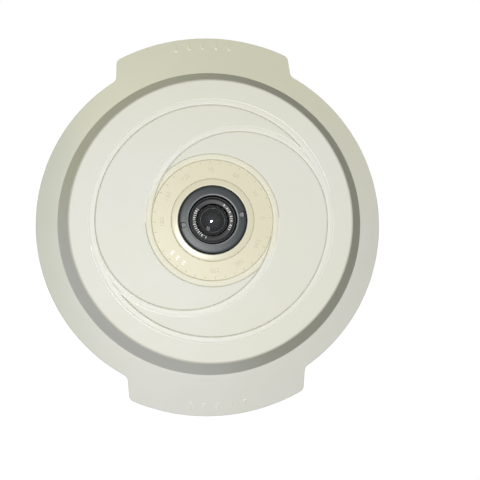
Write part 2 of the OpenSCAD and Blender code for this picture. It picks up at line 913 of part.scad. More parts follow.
module aperture_stop() {
    color("dimgray") translate([0, 0, aperture_z]) ring(inner_r, aperture_d / 2, stop_t);
}

module middle_glass() {
    color("lightblue") difference() {
        translate([0, 0, middle_glass_z]) cylinder(r = inner_r, h = middle_glass_t);
        translate([0, 0, spacer_z + inner_r * middle_hollow_share]) sphere(r = inner_r);
    }
}

module lens_spacer() {
    color("dimgray") translate([0, 0, spacer_z])
        ring(inner_r, inner_r - spacer_wall, glass_seat_z - spacer_z);
}

module front_glass() {
    color("darkslategray") difference() {
        union() {
            translate([0, 0, glass_seat_z]) cylinder(r = front_r, h = glass_edge_t);
            intersection() {
                translate([0, 0, dome_top - dome_ball_r]) sphere(r = dome_ball_r);
                translate([0, 0, name_z - fit]) cylinder(r = front_r, h = dome_h + over);
            }
        }
        translate([0, 0, glass_seat_z - inner_r * front_hollow_drop_share])
            sphere(r = inner_r * front_hollow_share);
    }
}

module name_ring() {
    color("dimgray") rotate_extrude() polygon([
        [dome_at(name_z) + 2 * fit, name_z],
        [name_r, name_z],
        [name_r, head_top],
        [dome_at(head_top - name_drop) + 2 * fit, head_top - name_drop]]);
}

module lock_ring() {
    notch_r = notch_w / 2;
    notch_x = lip_r + notch_r + ring_bevel;
    color("dimgray") difference() {
        rotate_extrude() polygon([
            [ring_in_r, ring_z], [ring_r, ring_z],
            [ring_r, ring_top - ring_bevel], [ring_r - ring_bevel, ring_top],
            [lip_r + ring_bevel, ring_top], [lip_r, ring_top - ring_bevel],
            [lip_r, lip_z], [ring_in_r, lip_z]]);
        for (a = [0, 180]) rotate([0, 0, notch_angle + a])
            translate([0, 0, ring_top - notch_depth]) {
                translate([notch_x, 0, 0]) cylinder(r = notch_r, h = notch_depth + over);
                translate([notch_x, -notch_r, 0])
                    cube([ring_r - notch_x + over, notch_w, notch_depth + over]);
            }
    }
}

// Ear outline, with rounded outer corners that run past the ear's edge
module ear_plan() {
    half_w = ear_w / 2;
    corner = [half_w - ear_corner_r,
        sqrt(pow(ear_r - ear_corner_r, 2) - pow(half_w - ear_corner_r, 2))];
    edge_turn = atan2(corner.y, corner.x);
    steps = 12;
    side = [for (i = [0 : steps])
        corner + ear_corner_r * [cos(edge_turn * i / steps), sin(edge_turn * i / steps)]];
    beyond = 2 * ear_r * [cos(edge_turn), sin(edge_turn)];
    points = concat([[half_w, 0]], side, [beyond]);
    polygon(concat(points,
        [for (i = [len(points) - 1 : -1 : 0]) [-points[i].x, points[i].y]]));
    root = [half_w + ear_root_r,
        sqrt(pow(brim_r + ear_root_r, 2) - pow(half_w + ear_root_r, 2))];
    foot = root * brim_r / (brim_r + ear_root_r);
    for (m = [0, 1]) mirror([m, 0]) difference() {
        polygon([[0, root.y], root, foot, [0, 0]]);
        translate(root) circle(r = ear_root_r);
    }
}

// Outline of the whole cover, seen along the lens axis
module cover_plan() {
    circle(r = brim_r);
    for (a = [0, 180]) rotate(a) intersection() {
        ear_plan();
        circle(r = ear_r + over);
    }
}

// Raised rings and half circles on the face
module rib_plan() {
    middle_r = (large_rib_r + tan_r) / 2;
    shift = (large_rib_r - tan_r) / 2;
    margin = (ring_rib_w - arc_rib_w) / 2;
    for (r = [tan_r, large_rib_r]) difference() {
        circle(r = r + ring_rib_w);
        circle(r = r);
    }
    for (a = [0, 180]) rotate(a) intersection() {
        translate([shift, 0]) difference() {
            circle(r = middle_r + margin + arc_rib_w);
            circle(r = middle_r + margin);
        }
        translate([-brim_r, 0]) square([brim_d, brim_r]);
    }
}

module grip_plan() {
    grip_y = (brim_r + ear_r) / 2;
    grip_turn = 180 * grip_pitch / (PI * grip_y);
    for (i = [0 : grip_count - 1])
        rotate((i - (grip_count - 1) / 2) * grip_turn) translate([0, grip_y]) {
            square([grip_w, grip_l - grip_w], center = true);
            for (end = [-1, 1]) translate([0, end * (grip_l - grip_w) / 2]) circle(d = grip_w);
        }
}

module front_cover() {
    foot_p = [foot_r, foot_z];
    crown_p = [crown_r, crown_z];
    tan_p = [tan_r, face_at(tan_r)];
    edge_p = [ear_r, brim_at(ear_r)];
    collar_z = face_at(collar_r);
    recess_t = face_ring_t + fit * 2;
    in_foot = meet([foot_r, foot_z - brim_drop], -brim_slope, [foot_r - wall_run, foot_z], -wall_slope);
    in_crown = meet([foot_r - wall_run, foot_z], -wall_slope, crown_p - [0, cover_wall], -face_slope);
    profile = concat(
        [[lens_hole_r, face_at(lens_hole_r) - cover_wall],
            [lens_hole_r, collar_z + collar_h],
            [lens_hole_r + collar_flat, collar_z + collar_h],
            [collar_r, collar_z],
            [collar_r, collar_z - recess_t],
            tan_p - [0, recess_t],
            tan_p],
        rounded(tan_p, crown_p, foot_p, crown_edge_r, crown_steps),
        rounded(crown_p, foot_p, edge_p, foot_edge_r, foot_steps),
        [edge_p,
            edge_p - [0, brim_drop],
            in_foot,
            in_crown]);
    wall_in = function (r) foot_z + wall_slope * (foot_r - wall_run - r);
    color("gainsboro") {
        intersection() {
            rotate_extrude() polygon(profile);
            linear_extrude(ring_top) cover_plan();
        }
        rotate_extrude() polygon([[skirt_r, skirt_z], [skirt_r + skirt_t, skirt_z],
            [skirt_r + skirt_t, wall_in(skirt_r + skirt_t) + cover_wall / 2],
            [skirt_r, wall_in(skirt_r) + cover_wall / 2]]);
        at_lugs() sector(housing_r + skirt_gap, skirt_r + skirt_t / 2, -lug_span / 2, lug_span,
            lug_z, lug_t);
        intersection() {
            linear_extrude(ring_top) rib_plan();
            rotate_extrude() polygon([[tan_r, face_at(tan_r) - cover_wall / 2],
                [crown_r, crown_z - cover_wall / 2], [crown_r, crown_z + rib_h],
                [tan_r, face_at(tan_r) + rib_h]]);
        }
        for (a = [0, 180]) rotate([0, 0, a]) intersection() {
            linear_extrude(ring_top) grip_plan();
            rotate_extrude() polygon([[foot_r, foot_z - cover_wall / 2],
                edge_p - [0, cover_wall / 2], edge_p + [0, rib_h], [foot_r, foot_z + rib_h]]);
        }
    }
}

module face_ring() {
    inner = collar_r + fit;
    outer = tan_r - fit;
    seat = face_ring_t + 2 * fit;
    color("wheat") rotate_extrude() polygon([
        [inner, face_at(inner) - seat], [outer, face_at(outer) - seat],
        [outer, face_at(outer) - seat + face_ring_t],
        [inner, face_at(inner) - seat + face_ring_t]]);
}

module reset_button() {
    color("dimgray") translate([0, reset_y, button_z]) rotate([0, 90, 0]) {
        translate([0, 0, button_flange_x])
            cylinder(r = button_flange_r, h = button_flange_t);
        translate([0, 0, button_flange_x])
            cylinder(r = button_r, h = button_out - button_flange_x);
    }
}

module memory_card() {
    color("dimgray") difference() {
        translate([card_in, -card_w / 2, card_z]) cube([card_l, card_w, card_t]);
        translate([card_out - 2 * card_ridge, -card_w / 2 + card_ridge, card_z + card_t - slip])
            cube([card_ridge, card_w - 2 * card_ridge, card_t]);
    }
}

mounting_plate();
rear_housing();
housing_screws();
lower_board();
network_socket();
network_shield();
network_contacts();
power_transformer();
power_inductor();
capacitors();
network_isolator();
card_socket();
reset_switch();
board_link();
board_spacers();
board_screws();
main_board();
processor();
heat_sink();
memory_chips();
clock_crystal();
battery_holder();
clock_battery();
service_header();
header_pins();
chip_resistors();
sensor_board();
sensor_spacers();
image_sensor();
sensor_glass();
filter_case();
filter_coil();
coil_yoke();
lens_mount();
lens_screws();
filter_carrier();
infrared_filter();
clear_filter();
filter_lever();
rotor_magnet();
lens_barrel();
rear_glass();
aperture_stop();
middle_glass();
lens_spacer();
front_glass();
name_ring();
lock_ring();
front_cover();
face_ring();
reset_button();
memory_card();
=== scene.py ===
import json
import math

import bpy
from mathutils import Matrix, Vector

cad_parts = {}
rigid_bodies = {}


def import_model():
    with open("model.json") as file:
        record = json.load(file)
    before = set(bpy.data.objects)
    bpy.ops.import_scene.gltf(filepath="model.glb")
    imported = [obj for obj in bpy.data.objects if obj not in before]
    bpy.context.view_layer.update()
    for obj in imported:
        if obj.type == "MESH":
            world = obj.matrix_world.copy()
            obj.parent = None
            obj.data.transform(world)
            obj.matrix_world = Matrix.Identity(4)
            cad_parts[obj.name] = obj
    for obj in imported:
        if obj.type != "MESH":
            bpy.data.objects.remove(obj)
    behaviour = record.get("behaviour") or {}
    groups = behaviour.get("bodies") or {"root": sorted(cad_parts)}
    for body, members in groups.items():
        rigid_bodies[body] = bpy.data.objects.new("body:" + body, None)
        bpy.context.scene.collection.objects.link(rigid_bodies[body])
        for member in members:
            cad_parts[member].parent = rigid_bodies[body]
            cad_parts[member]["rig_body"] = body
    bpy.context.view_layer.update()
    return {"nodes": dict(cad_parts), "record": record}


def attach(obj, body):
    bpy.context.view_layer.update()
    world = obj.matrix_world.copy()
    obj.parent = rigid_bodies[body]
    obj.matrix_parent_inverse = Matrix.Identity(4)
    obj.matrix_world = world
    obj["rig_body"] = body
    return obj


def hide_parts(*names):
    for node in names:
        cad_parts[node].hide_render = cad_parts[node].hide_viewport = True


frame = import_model()

# Lengths below are in millimetres, and MM turns them into Blender's metres
MM = 0.001
MERGE = 0.002
TURN = 2 * math.pi


# Modelling with the edit-mode tools

def begin(name):
    """Starts a piece as one loose vertex at the origin, in edit mode."""
    bpy.ops.object.select_all(action="DESELECT")
    bpy.ops.mesh.primitive_plane_add(size=MM, location=(0, 0, 0))
    piece = bpy.context.object
    piece.name = name
    bpy.ops.object.mode_set(mode="EDIT")
    bpy.ops.mesh.select_mode(type="VERT")
    bpy.ops.mesh.select_all(action="SELECT")
    bpy.ops.mesh.merge(type="CENTER")
    return piece


def trace(points, closed):
    """Extrudes the selected vertex from point to point."""
    route = [Vector(p) * MM for p in points]
    bpy.ops.transform.translate(value=route[0])
    ends = route[1:] + (route[:1] if closed else [])
    for here, there in zip(route, ends):
        bpy.ops.mesh.extrude_region_move(TRANSFORM_OT_translate={"value": there - here})


def merge_seams():
    """Selects the whole mesh and merges vertices that lie together."""
    bpy.ops.mesh.select_all(action="SELECT")
    bpy.ops.mesh.remove_doubles(threshold=MERGE * MM)


def tidy_mesh():
    """Merges the seams and turns every face outwards."""
    merge_seams()
    bpy.ops.mesh.normals_make_consistent(inside=False)


def finish(piece, smooth=30):
    """Leaves edit mode, puts the place in the mesh and smooths what isn't an edge."""
    if bpy.context.object.mode == "EDIT":
        bpy.ops.object.mode_set(mode="OBJECT")
    alone(piece)
    bpy.ops.object.transform_apply(location=True, rotation=True, scale=True)
    bpy.ops.object.shade_smooth_by_angle(angle=math.radians(smooth))
    return piece


def alone(piece):
    bpy.ops.object.select_all(action="DESELECT")
    piece.select_set(True)
    bpy.context.view_layer.objects.active = piece


def set_place(piece, location=(0, 0, 0), rotation=(0, 0, 0)):
    """Moves and turns a piece, and puts its place in its mesh."""
    alone(piece)
    piece.location = Vector(location) * MM
    piece.rotation_euler = rotation
    bpy.ops.object.transform_apply(location=True, rotation=True, scale=True)
    return piece


def turned(piece, degrees):
    """Turns a finished piece about the lens axis."""
    return set_place(piece, rotation=(0, 0, math.radians(degrees)))


def with_modifier(piece, kind, **settings):
    """Adds a modifier, sets it up and applies it."""
    alone(piece)
    bpy.ops.object.modifier_add(type=kind)
    modifier = piece.modifiers[-1]
    for key, value in settings.items():
        setattr(modifier, key, value)
    bpy.ops.object.modifier_apply(modifier=modifier.name)
    return piece


def settle_normals(piece):
    """Lets the broad faces set the shading and leaves the turn to the narrow ones beside them."""
    return with_modifier(piece, "WEIGHTED_NORMAL", keep_sharp=True, weight=50)


def bevelled(piece, width, segments=2, angle=30):
    """Rounds every edge sharper than the angle."""
    return with_modifier(piece, "BEVEL", width=width * MM, segments=segments, limit_method="ANGLE",
                         angle_limit=math.radians(angle), use_clamp_overlap=True)


def combine(piece, tool, operation):
    """Adds or cuts the tool, and removes it."""
    with_modifier(piece, "BOOLEAN", operation=operation, solver="EXACT", object=tool)
    bpy.data.objects.remove(tool)
    return piece


def lathe(name, profile, steps=192, smooth=30, closed=True):
    """Turns an outline of (radius, height) points about the lens axis."""
    piece = begin(name)
    trace([(r, 0, z) for r, z in profile], closed)
    merge_seams()
    bpy.ops.mesh.spin(steps=steps, angle=TURN, center=(0, 0, 0), axis=(0, 0, 1))
    tidy_mesh()
    return finish(piece, smooth)


def prism(name, outline, low, high, smooth=30, flare=1):
    """Draws an outline and pulls it up into a solid, whose top may be wider than its foot."""
    piece = begin(name)
    trace([(x, y, low) for x, y in outline], True)
    merge_seams()
    bpy.ops.mesh.edge_face_add()
    bpy.ops.mesh.extrude_region_move(TRANSFORM_OT_translate={"value": (0, 0, (high - low) * MM)})
    middle = [sum(point[axis] for point in outline) / len(outline) * MM for axis in (0, 1)]
    bpy.ops.transform.resize(value=(flare, flare, 1), center_override=(middle[0], middle[1], 0))
    tidy_mesh()
    return finish(piece, smooth)


def sector(name, profile, middle, span, steps=192):
    """A slice of a turned ring, span degrees wide, about the middle angle."""
    piece = lathe(name, profile, steps)
    bpy.ops.object.mode_set(mode="EDIT")
    half = math.radians(span / 2)
    for side in (1, -1):
        bpy.ops.mesh.select_all(action="SELECT")
        across = (-math.sin(half), side * math.cos(half), 0)
        bpy.ops.mesh.bisect(plane_co=(0, 0, 0), plane_no=across, use_fill=True, clear_outer=True)
    tidy_mesh()
    return turned(finish(piece), middle)


def number(text, size, depth, radius, angle, height, bold=0):
    """A number on a ring about the lens axis, its top pointing outwards."""
    bpy.ops.object.select_all(action="DESELECT")
    bpy.ops.object.text_add(location=(0, 0, 0))
    piece = bpy.context.object
    piece.data.body = text
    piece.data.size = size * MM
    piece.data.extrude = depth / 2 * MM
    piece.data.align_x, piece.data.align_y = "CENTER", "CENTER"
    piece.data.resolution_u = 2
    piece.data.offset = bold * MM
    bpy.ops.object.convert(target="MESH")
    turn = math.radians(angle)
    piece = set_place(bpy.context.object, (radius * math.cos(turn), radius * math.sin(turn), height),
                      (0, 0, turn - math.pi / 2))
    bpy.ops.object.mode_set(mode="EDIT")
    tidy_mesh()
    bpy.ops.object.mode_set(mode="OBJECT")
    return piece


def join(name, pieces):
    bpy.ops.object.select_all(action="DESELECT")
    for piece in pieces:
        piece.select_set(True)
    bpy.context.view_layer.objects.active = pieces[0]
    if len(pieces) > 1:
        bpy.ops.object.join()
    pieces[0].name = name
    return pieces[0]


def copy(piece, name):
    double = piece.copy()
    double.data = piece.data.copy()
    double.name = name
    bpy.context.scene.collection.objects.link(double)
    return double


# Finishes

def srgb(r, g, b):
    """A colour as seen on a screen, from 0 to 255, as Blender's linear colour."""
    def linear(v):
        v /= 255
        return v / 12.92 if v <= 0.04045 else ((v + 0.055) / 1.055) ** 2.4
    return (linear(r), linear(g), linear(b), 1)


def add(tree, kind, inputs=None, **settings):
    """A new node, with links or values on its inputs."""
    node = tree.nodes.new(kind)
    for key, value in settings.items():
        setattr(node, key, value)
    for key, value in (inputs or {}).items():
        if isinstance(value, bpy.types.NodeSocket):
            tree.links.new(value, node.inputs[key])
        else:
            node.inputs[key].default_value = value
    return node


def reckon(tree, operation, *values):
    """One step of arithmetic."""
    return add(tree, "ShaderNodeMath", dict(enumerate(values)), operation=operation).outputs[0]


def ramp(tree, value, low, high, to_low=0, to_high=1, **settings):
    """Takes a value from one range to another."""
    inputs = {"Value": value, "From Min": low, "From Max": high, "To Min": to_low, "To Max": to_high}
    return add(tree, "ShaderNodeMapRange", inputs, **settings).outputs["Result"]


def spot_on(tree):
    """Object coordinates."""
    return add(tree, "ShaderNodeTexCoord").outputs["Object"]


def axes_of(tree, vector):
    return add(tree, "ShaderNodeSeparateXYZ", {0: vector}).outputs


def vector_of(tree, operation, output, *values):
    return add(tree, "ShaderNodeVectorMath", dict(enumerate(values)), operation=operation).outputs[output]


def noise(tree, scale, detail, vector=None, **more):
    """Soft noise, on Object coordinates unless another vector is given."""
    return add(tree, "ShaderNodeTexNoise", {"Vector": vector or spot_on(tree), "Scale": scale,
                                            "Detail": detail, **more}).outputs["Fac"]


def tinted(tree, mask, shade, tint):
    """The shade with a tint over it where the mask is high."""
    inputs = {"Factor": mask, "A": shade, "B": tint}
    return add(tree, "ShaderNodeMix", inputs, data_type="RGBA").outputs[2]


FLOAT, VECTOR, COLOUR = "NodeSocketFloat", "NodeSocketVector", "NodeSocketColor"
WHITE = (1, 1, 1, 1)


def group(name, inputs, output, kind=FLOAT):
    """A node group with one output: its tree, what it is given, and the socket for its result."""
    tree = bpy.data.node_groups.new(name, "ShaderNodeTree")
    for label, socket_kind, value in inputs:
        socket = tree.interface.new_socket(name=label, in_out="INPUT", socket_type=socket_kind)
        socket.default_value = value
    tree.interface.new_socket(name=output, in_out="OUTPUT", socket_type=kind)
    given, result = tree.nodes.new("NodeGroupInput"), tree.nodes.new("NodeGroupOutput")
    return tree, given.outputs, result.inputs[0]


def make_mottle():
    """Slow drift between two tones, as on moulded or aged plastic."""
    tree, given, result = group("mottle", [
        ("Colour", COLOUR, WHITE), ("Drift", COLOUR, WHITE), ("Scale", FLOAT, 20),
        ("Amount", FLOAT, 0.5)], "Colour", COLOUR)
    drift = ramp(tree, noise(tree, given["Scale"], 3, Roughness=0.55), 0.35, 0.65)
    share = reckon(tree, "MULTIPLY", drift, given["Amount"])
    tree.links.new(tinted(tree, share, given["Colour"], given["Drift"]), result)
    return tree


def make_grain():
    """Height of a fine moulded or blasted grain, with a coarser ripple under it."""
    tree, given, result = group("grain", [("Scale", FLOAT, 2000), ("Ripple", FLOAT, 0.3)], "Height")
    fine = noise(tree, given["Scale"], 2)
    wide = noise(tree, reckon(tree, "MULTIPLY", given["Scale"], 0.06), 1)
    tree.links.new(reckon(tree, "MULTIPLY_ADD", wide, given["Ripple"], fine), result)
    return tree


def make_turning():
    """Fine rings about the lens axis, as a lathe leaves them."""
    tree, given, result = group("turning marks", [("Scale", FLOAT, 3000)], "Height")
    flat = vector_of(tree, "MULTIPLY", 0, spot_on(tree), (1, 1, 0))
    marks = add(tree, "ShaderNodeTexNoise", {"W": vector_of(tree, "LENGTH", "Value", flat),
                                             "Scale": given["Scale"], "Detail": 2}, noise_dimensions="1D")
    tree.links.new(marks.outputs["Fac"], result)
    return tree


def make_brushing():
    """Long fine scratches along X."""
    tree, given, result = group("brushing", [("Scale", FLOAT, 400)], "Height")
    drawn_out = add(tree, "ShaderNodeMapping", {"Vector": spot_on(tree), "Scale": (0.06, 1, 1)})
    tree.links.new(noise(tree, given["Scale"], 4, drawn_out.outputs[0]), result)
    return tree


def make_dust():
    """Mask of dust that lies on what faces the lens side, thicker in patches."""
    tree, given, result = group("dust", [("Amount", FLOAT, 0.2), ("Scale", FLOAT, 120)], "Mask")
    normal = add(tree, "ShaderNodeNewGeometry").outputs["Normal"]
    facing = ramp(tree, axes_of(tree, normal)["Z"], 0.2, 1)
    thick = ramp(tree, noise(tree, given["Scale"], 6, Roughness=0.7), 0.45, 0.8)
    film = reckon(tree, "MULTIPLY", facing, thick)
    tree.links.new(reckon(tree, "MULTIPLY", film, given["Amount"]), result)
    return tree


def make_wear():
    """Mask of rubbed edges, broken up by noise."""
    tree, given, result = group("edge wear", [("Amount", FLOAT, 0.5), ("Scale", FLOAT, 500)], "Mask")
    sharp = add(tree, "ShaderNodeNewGeometry").outputs["Pointiness"]
    edge = ramp(tree, sharp, 0.53, 0.62)
    patches = ramp(tree, noise(tree, given["Scale"], 3), 0.4, 0.6)
    rubbed = reckon(tree, "MULTIPLY", edge, patches)
    tree.links.new(reckon(tree, "MULTIPLY", rubbed, given["Amount"]), result)
    return tree


def make_fade():
    """Mask that grows towards one side of the object, for side tints and for painted shade on that side.
    """
    tree, given, result = group("side_tint_and_shade", [("Side", VECTOR, (0, 1, 0)), ("From", FLOAT, -0.01),
                                         ("To", FLOAT, 0.075), ("Amount", FLOAT, 0.5)], "Mask")
    reach = vector_of(tree, "DOT_PRODUCT", "Value", spot_on(tree), given["Side"])
    edge = reckon(tree, "MULTIPLY_ADD", noise(tree, 25, 2), 0.02, reach)
    far = ramp(tree, edge, given["From"], given["To"], interpolation_type="SMOOTHSTEP")
    tree.links.new(reckon(tree, "MULTIPLY", far, given["Amount"]), result)
    return tree


def make_tracks():
    """Mask of the copper tracks and vias under a board's green resist."""
    tree, given, result = group("tracks", [("Pitch", FLOAT, 0.0009)], "Mask")
    spot = spot_on(tree)
    areas = add(tree, "ShaderNodeTexVoronoi", {"Vector": spot, "Scale": 85, "Randomness": 0.8})
    pick = add(tree, "ShaderNodeSeparateColor", {0: areas.outputs["Color"]}).outputs
    axes = axes_of(tree, spot)
    along = add(tree, "ShaderNodeMix", {"Factor": reckon(tree, "GREATER_THAN", pick[0], 0.55),
                                        "A": axes["X"], "B": axes["Y"]}, data_type="FLOAT").outputs[0]
    step = reckon(tree, "FRACT", reckon(tree, "DIVIDE", along, given["Pitch"]))
    line = reckon(tree, "LESS_THAN", step, 0.33)
    lines = reckon(tree, "MULTIPLY", line, reckon(tree, "GREATER_THAN", pick[1], 0.35))
    spots = add(tree, "ShaderNodeTexVoronoi", {"Vector": spot, "Scale": 300})
    vias = reckon(tree, "LESS_THAN", spots.outputs["Distance"], 0.15)
    tree.links.new(reckon(tree, "MAXIMUM", lines, vias), result)
    return tree


EFFECTS = {
    "mottle": make_mottle(), "side_tint_and_shade": make_fade(), "grain": make_grain(), "turning": make_turning(),
    "tracks": make_tracks(), "brushing": make_brushing(), "dust": make_dust(), "wear": make_wear(),
}


def effect(tree, name, **inputs):
    return add(tree, "ShaderNodeGroup", inputs, node_tree=EFFECTS[name]).outputs[0]


def new_material(name):
    """An empty material, its node tree, and the socket that its shader goes to."""
    material = bpy.data.materials.new(name)
    material.use_nodes = True
    tree = material.node_tree
    tree.nodes.clear()
    return material, tree, tree.nodes.new("ShaderNodeOutputMaterial").inputs["Surface"]


def surface(name, colour, drift, rough, texture="grain", scale=2500, depth=0.004, drift_scale=30,
            drift_amount=0.5, dust=0.0, dust_colour=(0.55, 0.53, 0.48, 1), wear=0.0,
            wear_colour=(0.5, 0.5, 0.5, 1), zones=(), track_colour=None, rough_spread=0.06,
            specular=0.5, metallic=0.0):
    """A finished surface: drifting colour, texture in the bump and roughness, dust and worn edges."""
    material, tree, target = new_material(name)
    bsdf = add(tree, "ShaderNodeBsdfPrincipled", {"Specular IOR Level": specular, "Metallic": metallic})
    tree.links.new(bsdf.outputs[0], target)
    shade = effect(tree, "mottle", Colour=colour, Drift=drift, Scale=drift_scale, Amount=drift_amount)
    # Each zone tints one side; the zones that darken a side are painted shade.
    for side, near, far, amount, tint in zones:
        side_mask = effect(tree, "side_tint_and_shade", Side=side, From=near, To=far, Amount=amount)
        shade = tinted(tree, side_mask, shade, tint)
    if track_colour:
        shade = tinted(tree, effect(tree, "tracks"), shade, track_colour)
    if wear:
        shade = tinted(tree, effect(tree, "wear", Amount=wear), shade, wear_colour)
    if dust:
        shade = tinted(tree, effect(tree, "dust", Amount=dust), shade, dust_colour)
    tree.links.new(shade, bsdf.inputs["Base Color"])
    marks = effect(tree, texture, Scale=scale)
    spread = ramp(tree, marks, 0.3, 0.9, rough - rough_spread, rough + rough_spread)
    tree.links.new(spread, bsdf.inputs["Roughness"])
    bump = add(tree, "ShaderNodeBump", {"Height": marks, "Distance": depth * MM, "Strength": 1})
    tree.links.new(bump.outputs[0], bsdf.inputs["Normal"])
    return material


def glass(name, colour, rough=0.02, ior=1.5):
    """Clear or tinted glass, very lightly smeared."""
    material, tree, target = new_material(name)
    bsdf = add(tree, "ShaderNodeBsdfPrincipled", {"Transmission Weight": 1.0, "IOR": ior})
    tree.links.new(bsdf.outputs[0], target)
    darker = tuple(0.9 * c for c in colour[:3]) + (1,)
    tone = effect(tree, "mottle", Colour=colour, Drift=darker, Scale=60, Amount=0.6)
    tree.links.new(tone, bsdf.inputs["Base Color"])
    smear = ramp(tree, effect(tree, "grain", Scale=150), 0.4, 0.9, rough, rough + 0.015)
    tree.links.new(smear, bsdf.inputs["Roughness"])
    return material


# Sides that the zones of a finish grow towards, as seen in front of the lens; some zones are painted
# shade
UPWARDS, LEFTWARDS, RIGHTWARDS = (0, 1, 0), (-1, 0, 0), (1, 0, 0)

FINISHES = {
    # Brim finish: its base is painted lighter than the face's, as painted light on the sloping brim. It
    # turns yellower towards the top, and darker towards the left edge as painted shade.
    "cover_plastic": surface("satin cover plastic", srgb(236, 236, 229), srgb(232, 232, 219), 0.42,
                             depth=0.003, dust=0.05, drift_scale=14, drift_amount=0.7,
                             specular=0.17, zones=[
                                 (UPWARDS, -0.01, 0.075, 0.9, srgb(241, 240, 213)),
                                 (LEFTWARDS, 0.045, 0.088, 0.9, srgb(216, 219, 203))]),
    "tan_plastic": surface("cream ring plastic", srgb(222, 217, 189), srgb(218, 213, 181), 0.4,
                           depth=0.003, dust=0.03, specular=0.3),
    "housing_plastic": surface("grained housing plastic", srgb(212, 213, 205), srgb(203, 203, 190), 0.5,
                               depth=0.012, scale=1500, wear=0.3, wear_colour=srgb(235, 235, 230)),
    "lock_ring_black": surface("anodised lock ring", srgb(47, 53, 54), srgb(40, 45, 47), 0.38,
                               texture="turning", scale=6000, depth=0.001, dust=0.01,
                               wear=0.3, wear_colour=srgb(140, 144, 146), specular=0.25),
    "black_aluminium": surface("black anodised barrel", srgb(34, 34, 36), srgb(26, 26, 28), 0.42,
                               texture="turning", scale=3000, depth=0.0006, specular=0.2),
    "lens_glass": glass("coated front glass", (0.36, 0.40, 0.43, 1), rough=0.0, ior=1.42),
    "clear_glass": glass("clear glass", (0.9, 0.95, 0.95, 1)),
    "filter_glass": glass("pink filter glass", (0.75, 0.35, 0.42, 1)),
    "steel": surface("zinc plated steel", srgb(205, 205, 202), srgb(180, 182, 184), 0.34,
                     texture="brushing", scale=900, depth=0.004, metallic=1.0),
    "dark_steel": surface("black zinc screws", srgb(70, 70, 72), srgb(52, 52, 55), 0.4, depth=0.004,
                          metallic=1.0, wear=0.6, wear_colour=srgb(160, 160, 160)),
    "anodised_aluminium": surface("satin aluminium", srgb(200, 202, 205), srgb(186, 188, 192), 0.42,
                                  texture="brushing", scale=1200, depth=0.004, metallic=1.0),
    "brass": surface("plain brass", srgb(214, 180, 105), srgb(190, 150, 80), 0.35, depth=0.003,
                     metallic=1.0),
    "gold": surface("plated contacts", srgb(235, 200, 120), srgb(220, 180, 95), 0.25, depth=0.002,
                    metallic=1.0),
    "copper_wire": surface("enamelled copper", srgb(170, 90, 50), srgb(140, 65, 35), 0.35, depth=0.01,
                           scale=4000, metallic=0.8),
    "capacitor_can": surface("capacitor sleeve", srgb(60, 80, 120), srgb(50, 68, 105), 0.35,
                             depth=0.003),
    "ferrite": surface("ferrite", srgb(62, 60, 60), srgb(78, 75, 74), 0.6, depth=0.02, scale=1200),
    "circuit_board": surface("solder mask", srgb(22, 92, 52), srgb(16, 74, 44), 0.35, depth=0.012,
                             scale=900, drift_scale=180, track_colour=srgb(44, 122, 74)),
    "black_plastic": surface("black moulded plastic", srgb(40, 40, 42), srgb(50, 50, 52), 0.45,
                             depth=0.01, scale=2200, wear=0.3, wear_colour=srgb(90, 90, 92)),
    "ivory_plastic": surface("ivory nylon", srgb(228, 222, 200), srgb(218, 208, 180), 0.45, depth=0.006),
}
# The wall is the cover's own plastic. Its darker base is painted shade on the steep wall, it is painted
# darker still towards the right (+X) as more painted shade, and it turns yellower towards the top.
WALL_GRAIN_AND_SHADE = surface("grained wall of the cover with painted shade", srgb(211, 212, 205), srgb(204, 205, 196), 0.6,
                     depth=0.01, scale=1800, specular=0.1, zones=[
                         (UPWARDS, -0.01, 0.04, 0.9, srgb(211, 211, 184)),
                         (RIGHTWARDS, -0.005, 0.05, 0.9, srgb(181, 182, 164))])
FACE_SATIN = surface("face of the cover", srgb(228, 228, 218), srgb(225, 225, 208), 0.42, depth=0.003,
                     dust=0.05, drift_scale=14, drift_amount=0.7, specular=0.13)
# The raised bands are the cover's own plastic, painted lighter than the face: painted light.
RING_BAND = surface("raised rings of the cover", srgb(233, 233, 224), srgb(230, 230, 215), 0.4,
                    depth=0.002, drift_scale=14, drift_amount=0.7, specular=0.17)
CREAM_BAND = surface("raised ring next to the lens", srgb(232, 230, 209), srgb(228, 225, 201), 0.4,
                     depth=0.002, drift_scale=40, specular=0.15)
RING_CREST = surface("polished bead of the rings", srgb(229, 229, 219), srgb(226, 226, 213), 0.25,
                     depth=0.001, drift_scale=14, rough_spread=0.02, specular=0.5)
# The groove is the cover's own plastic painted darker: painted shade in the crease at the foot of the
# rings.
GROOVE_SHADE = surface("groove with painted shade", srgb(213, 212, 197), srgb(205, 204, 188), 0.6, depth=0.002,
                      drift_scale=60, specular=0.1)
COLLAR_GLOSS = surface("polished collar", srgb(222, 218, 191), srgb(218, 214, 185), 0.25, depth=0.0015,
                       drift_scale=40, rough_spread=0.015, specular=0.28)
# Matte black for the blackened lens interior; it is also painted shade on the lock ring's outer edge and
# on the barrel's unlit faces.
MATTE_BLACK = surface("blackened lens interior and painted shade", srgb(13, 13, 14), srgb(10, 10, 11), 0.9, depth=0.001,
                      specular=0.05)
WHITE_INK = surface("white printing ink", srgb(250, 250, 244), srgb(236, 236, 230), 0.4, depth=0.002,
                    drift_scale=900)
GREY_INK = surface("faded scale ink", srgb(203, 199, 172), srgb(196, 191, 163), 0.55, depth=0.002,
                   drift_scale=400)
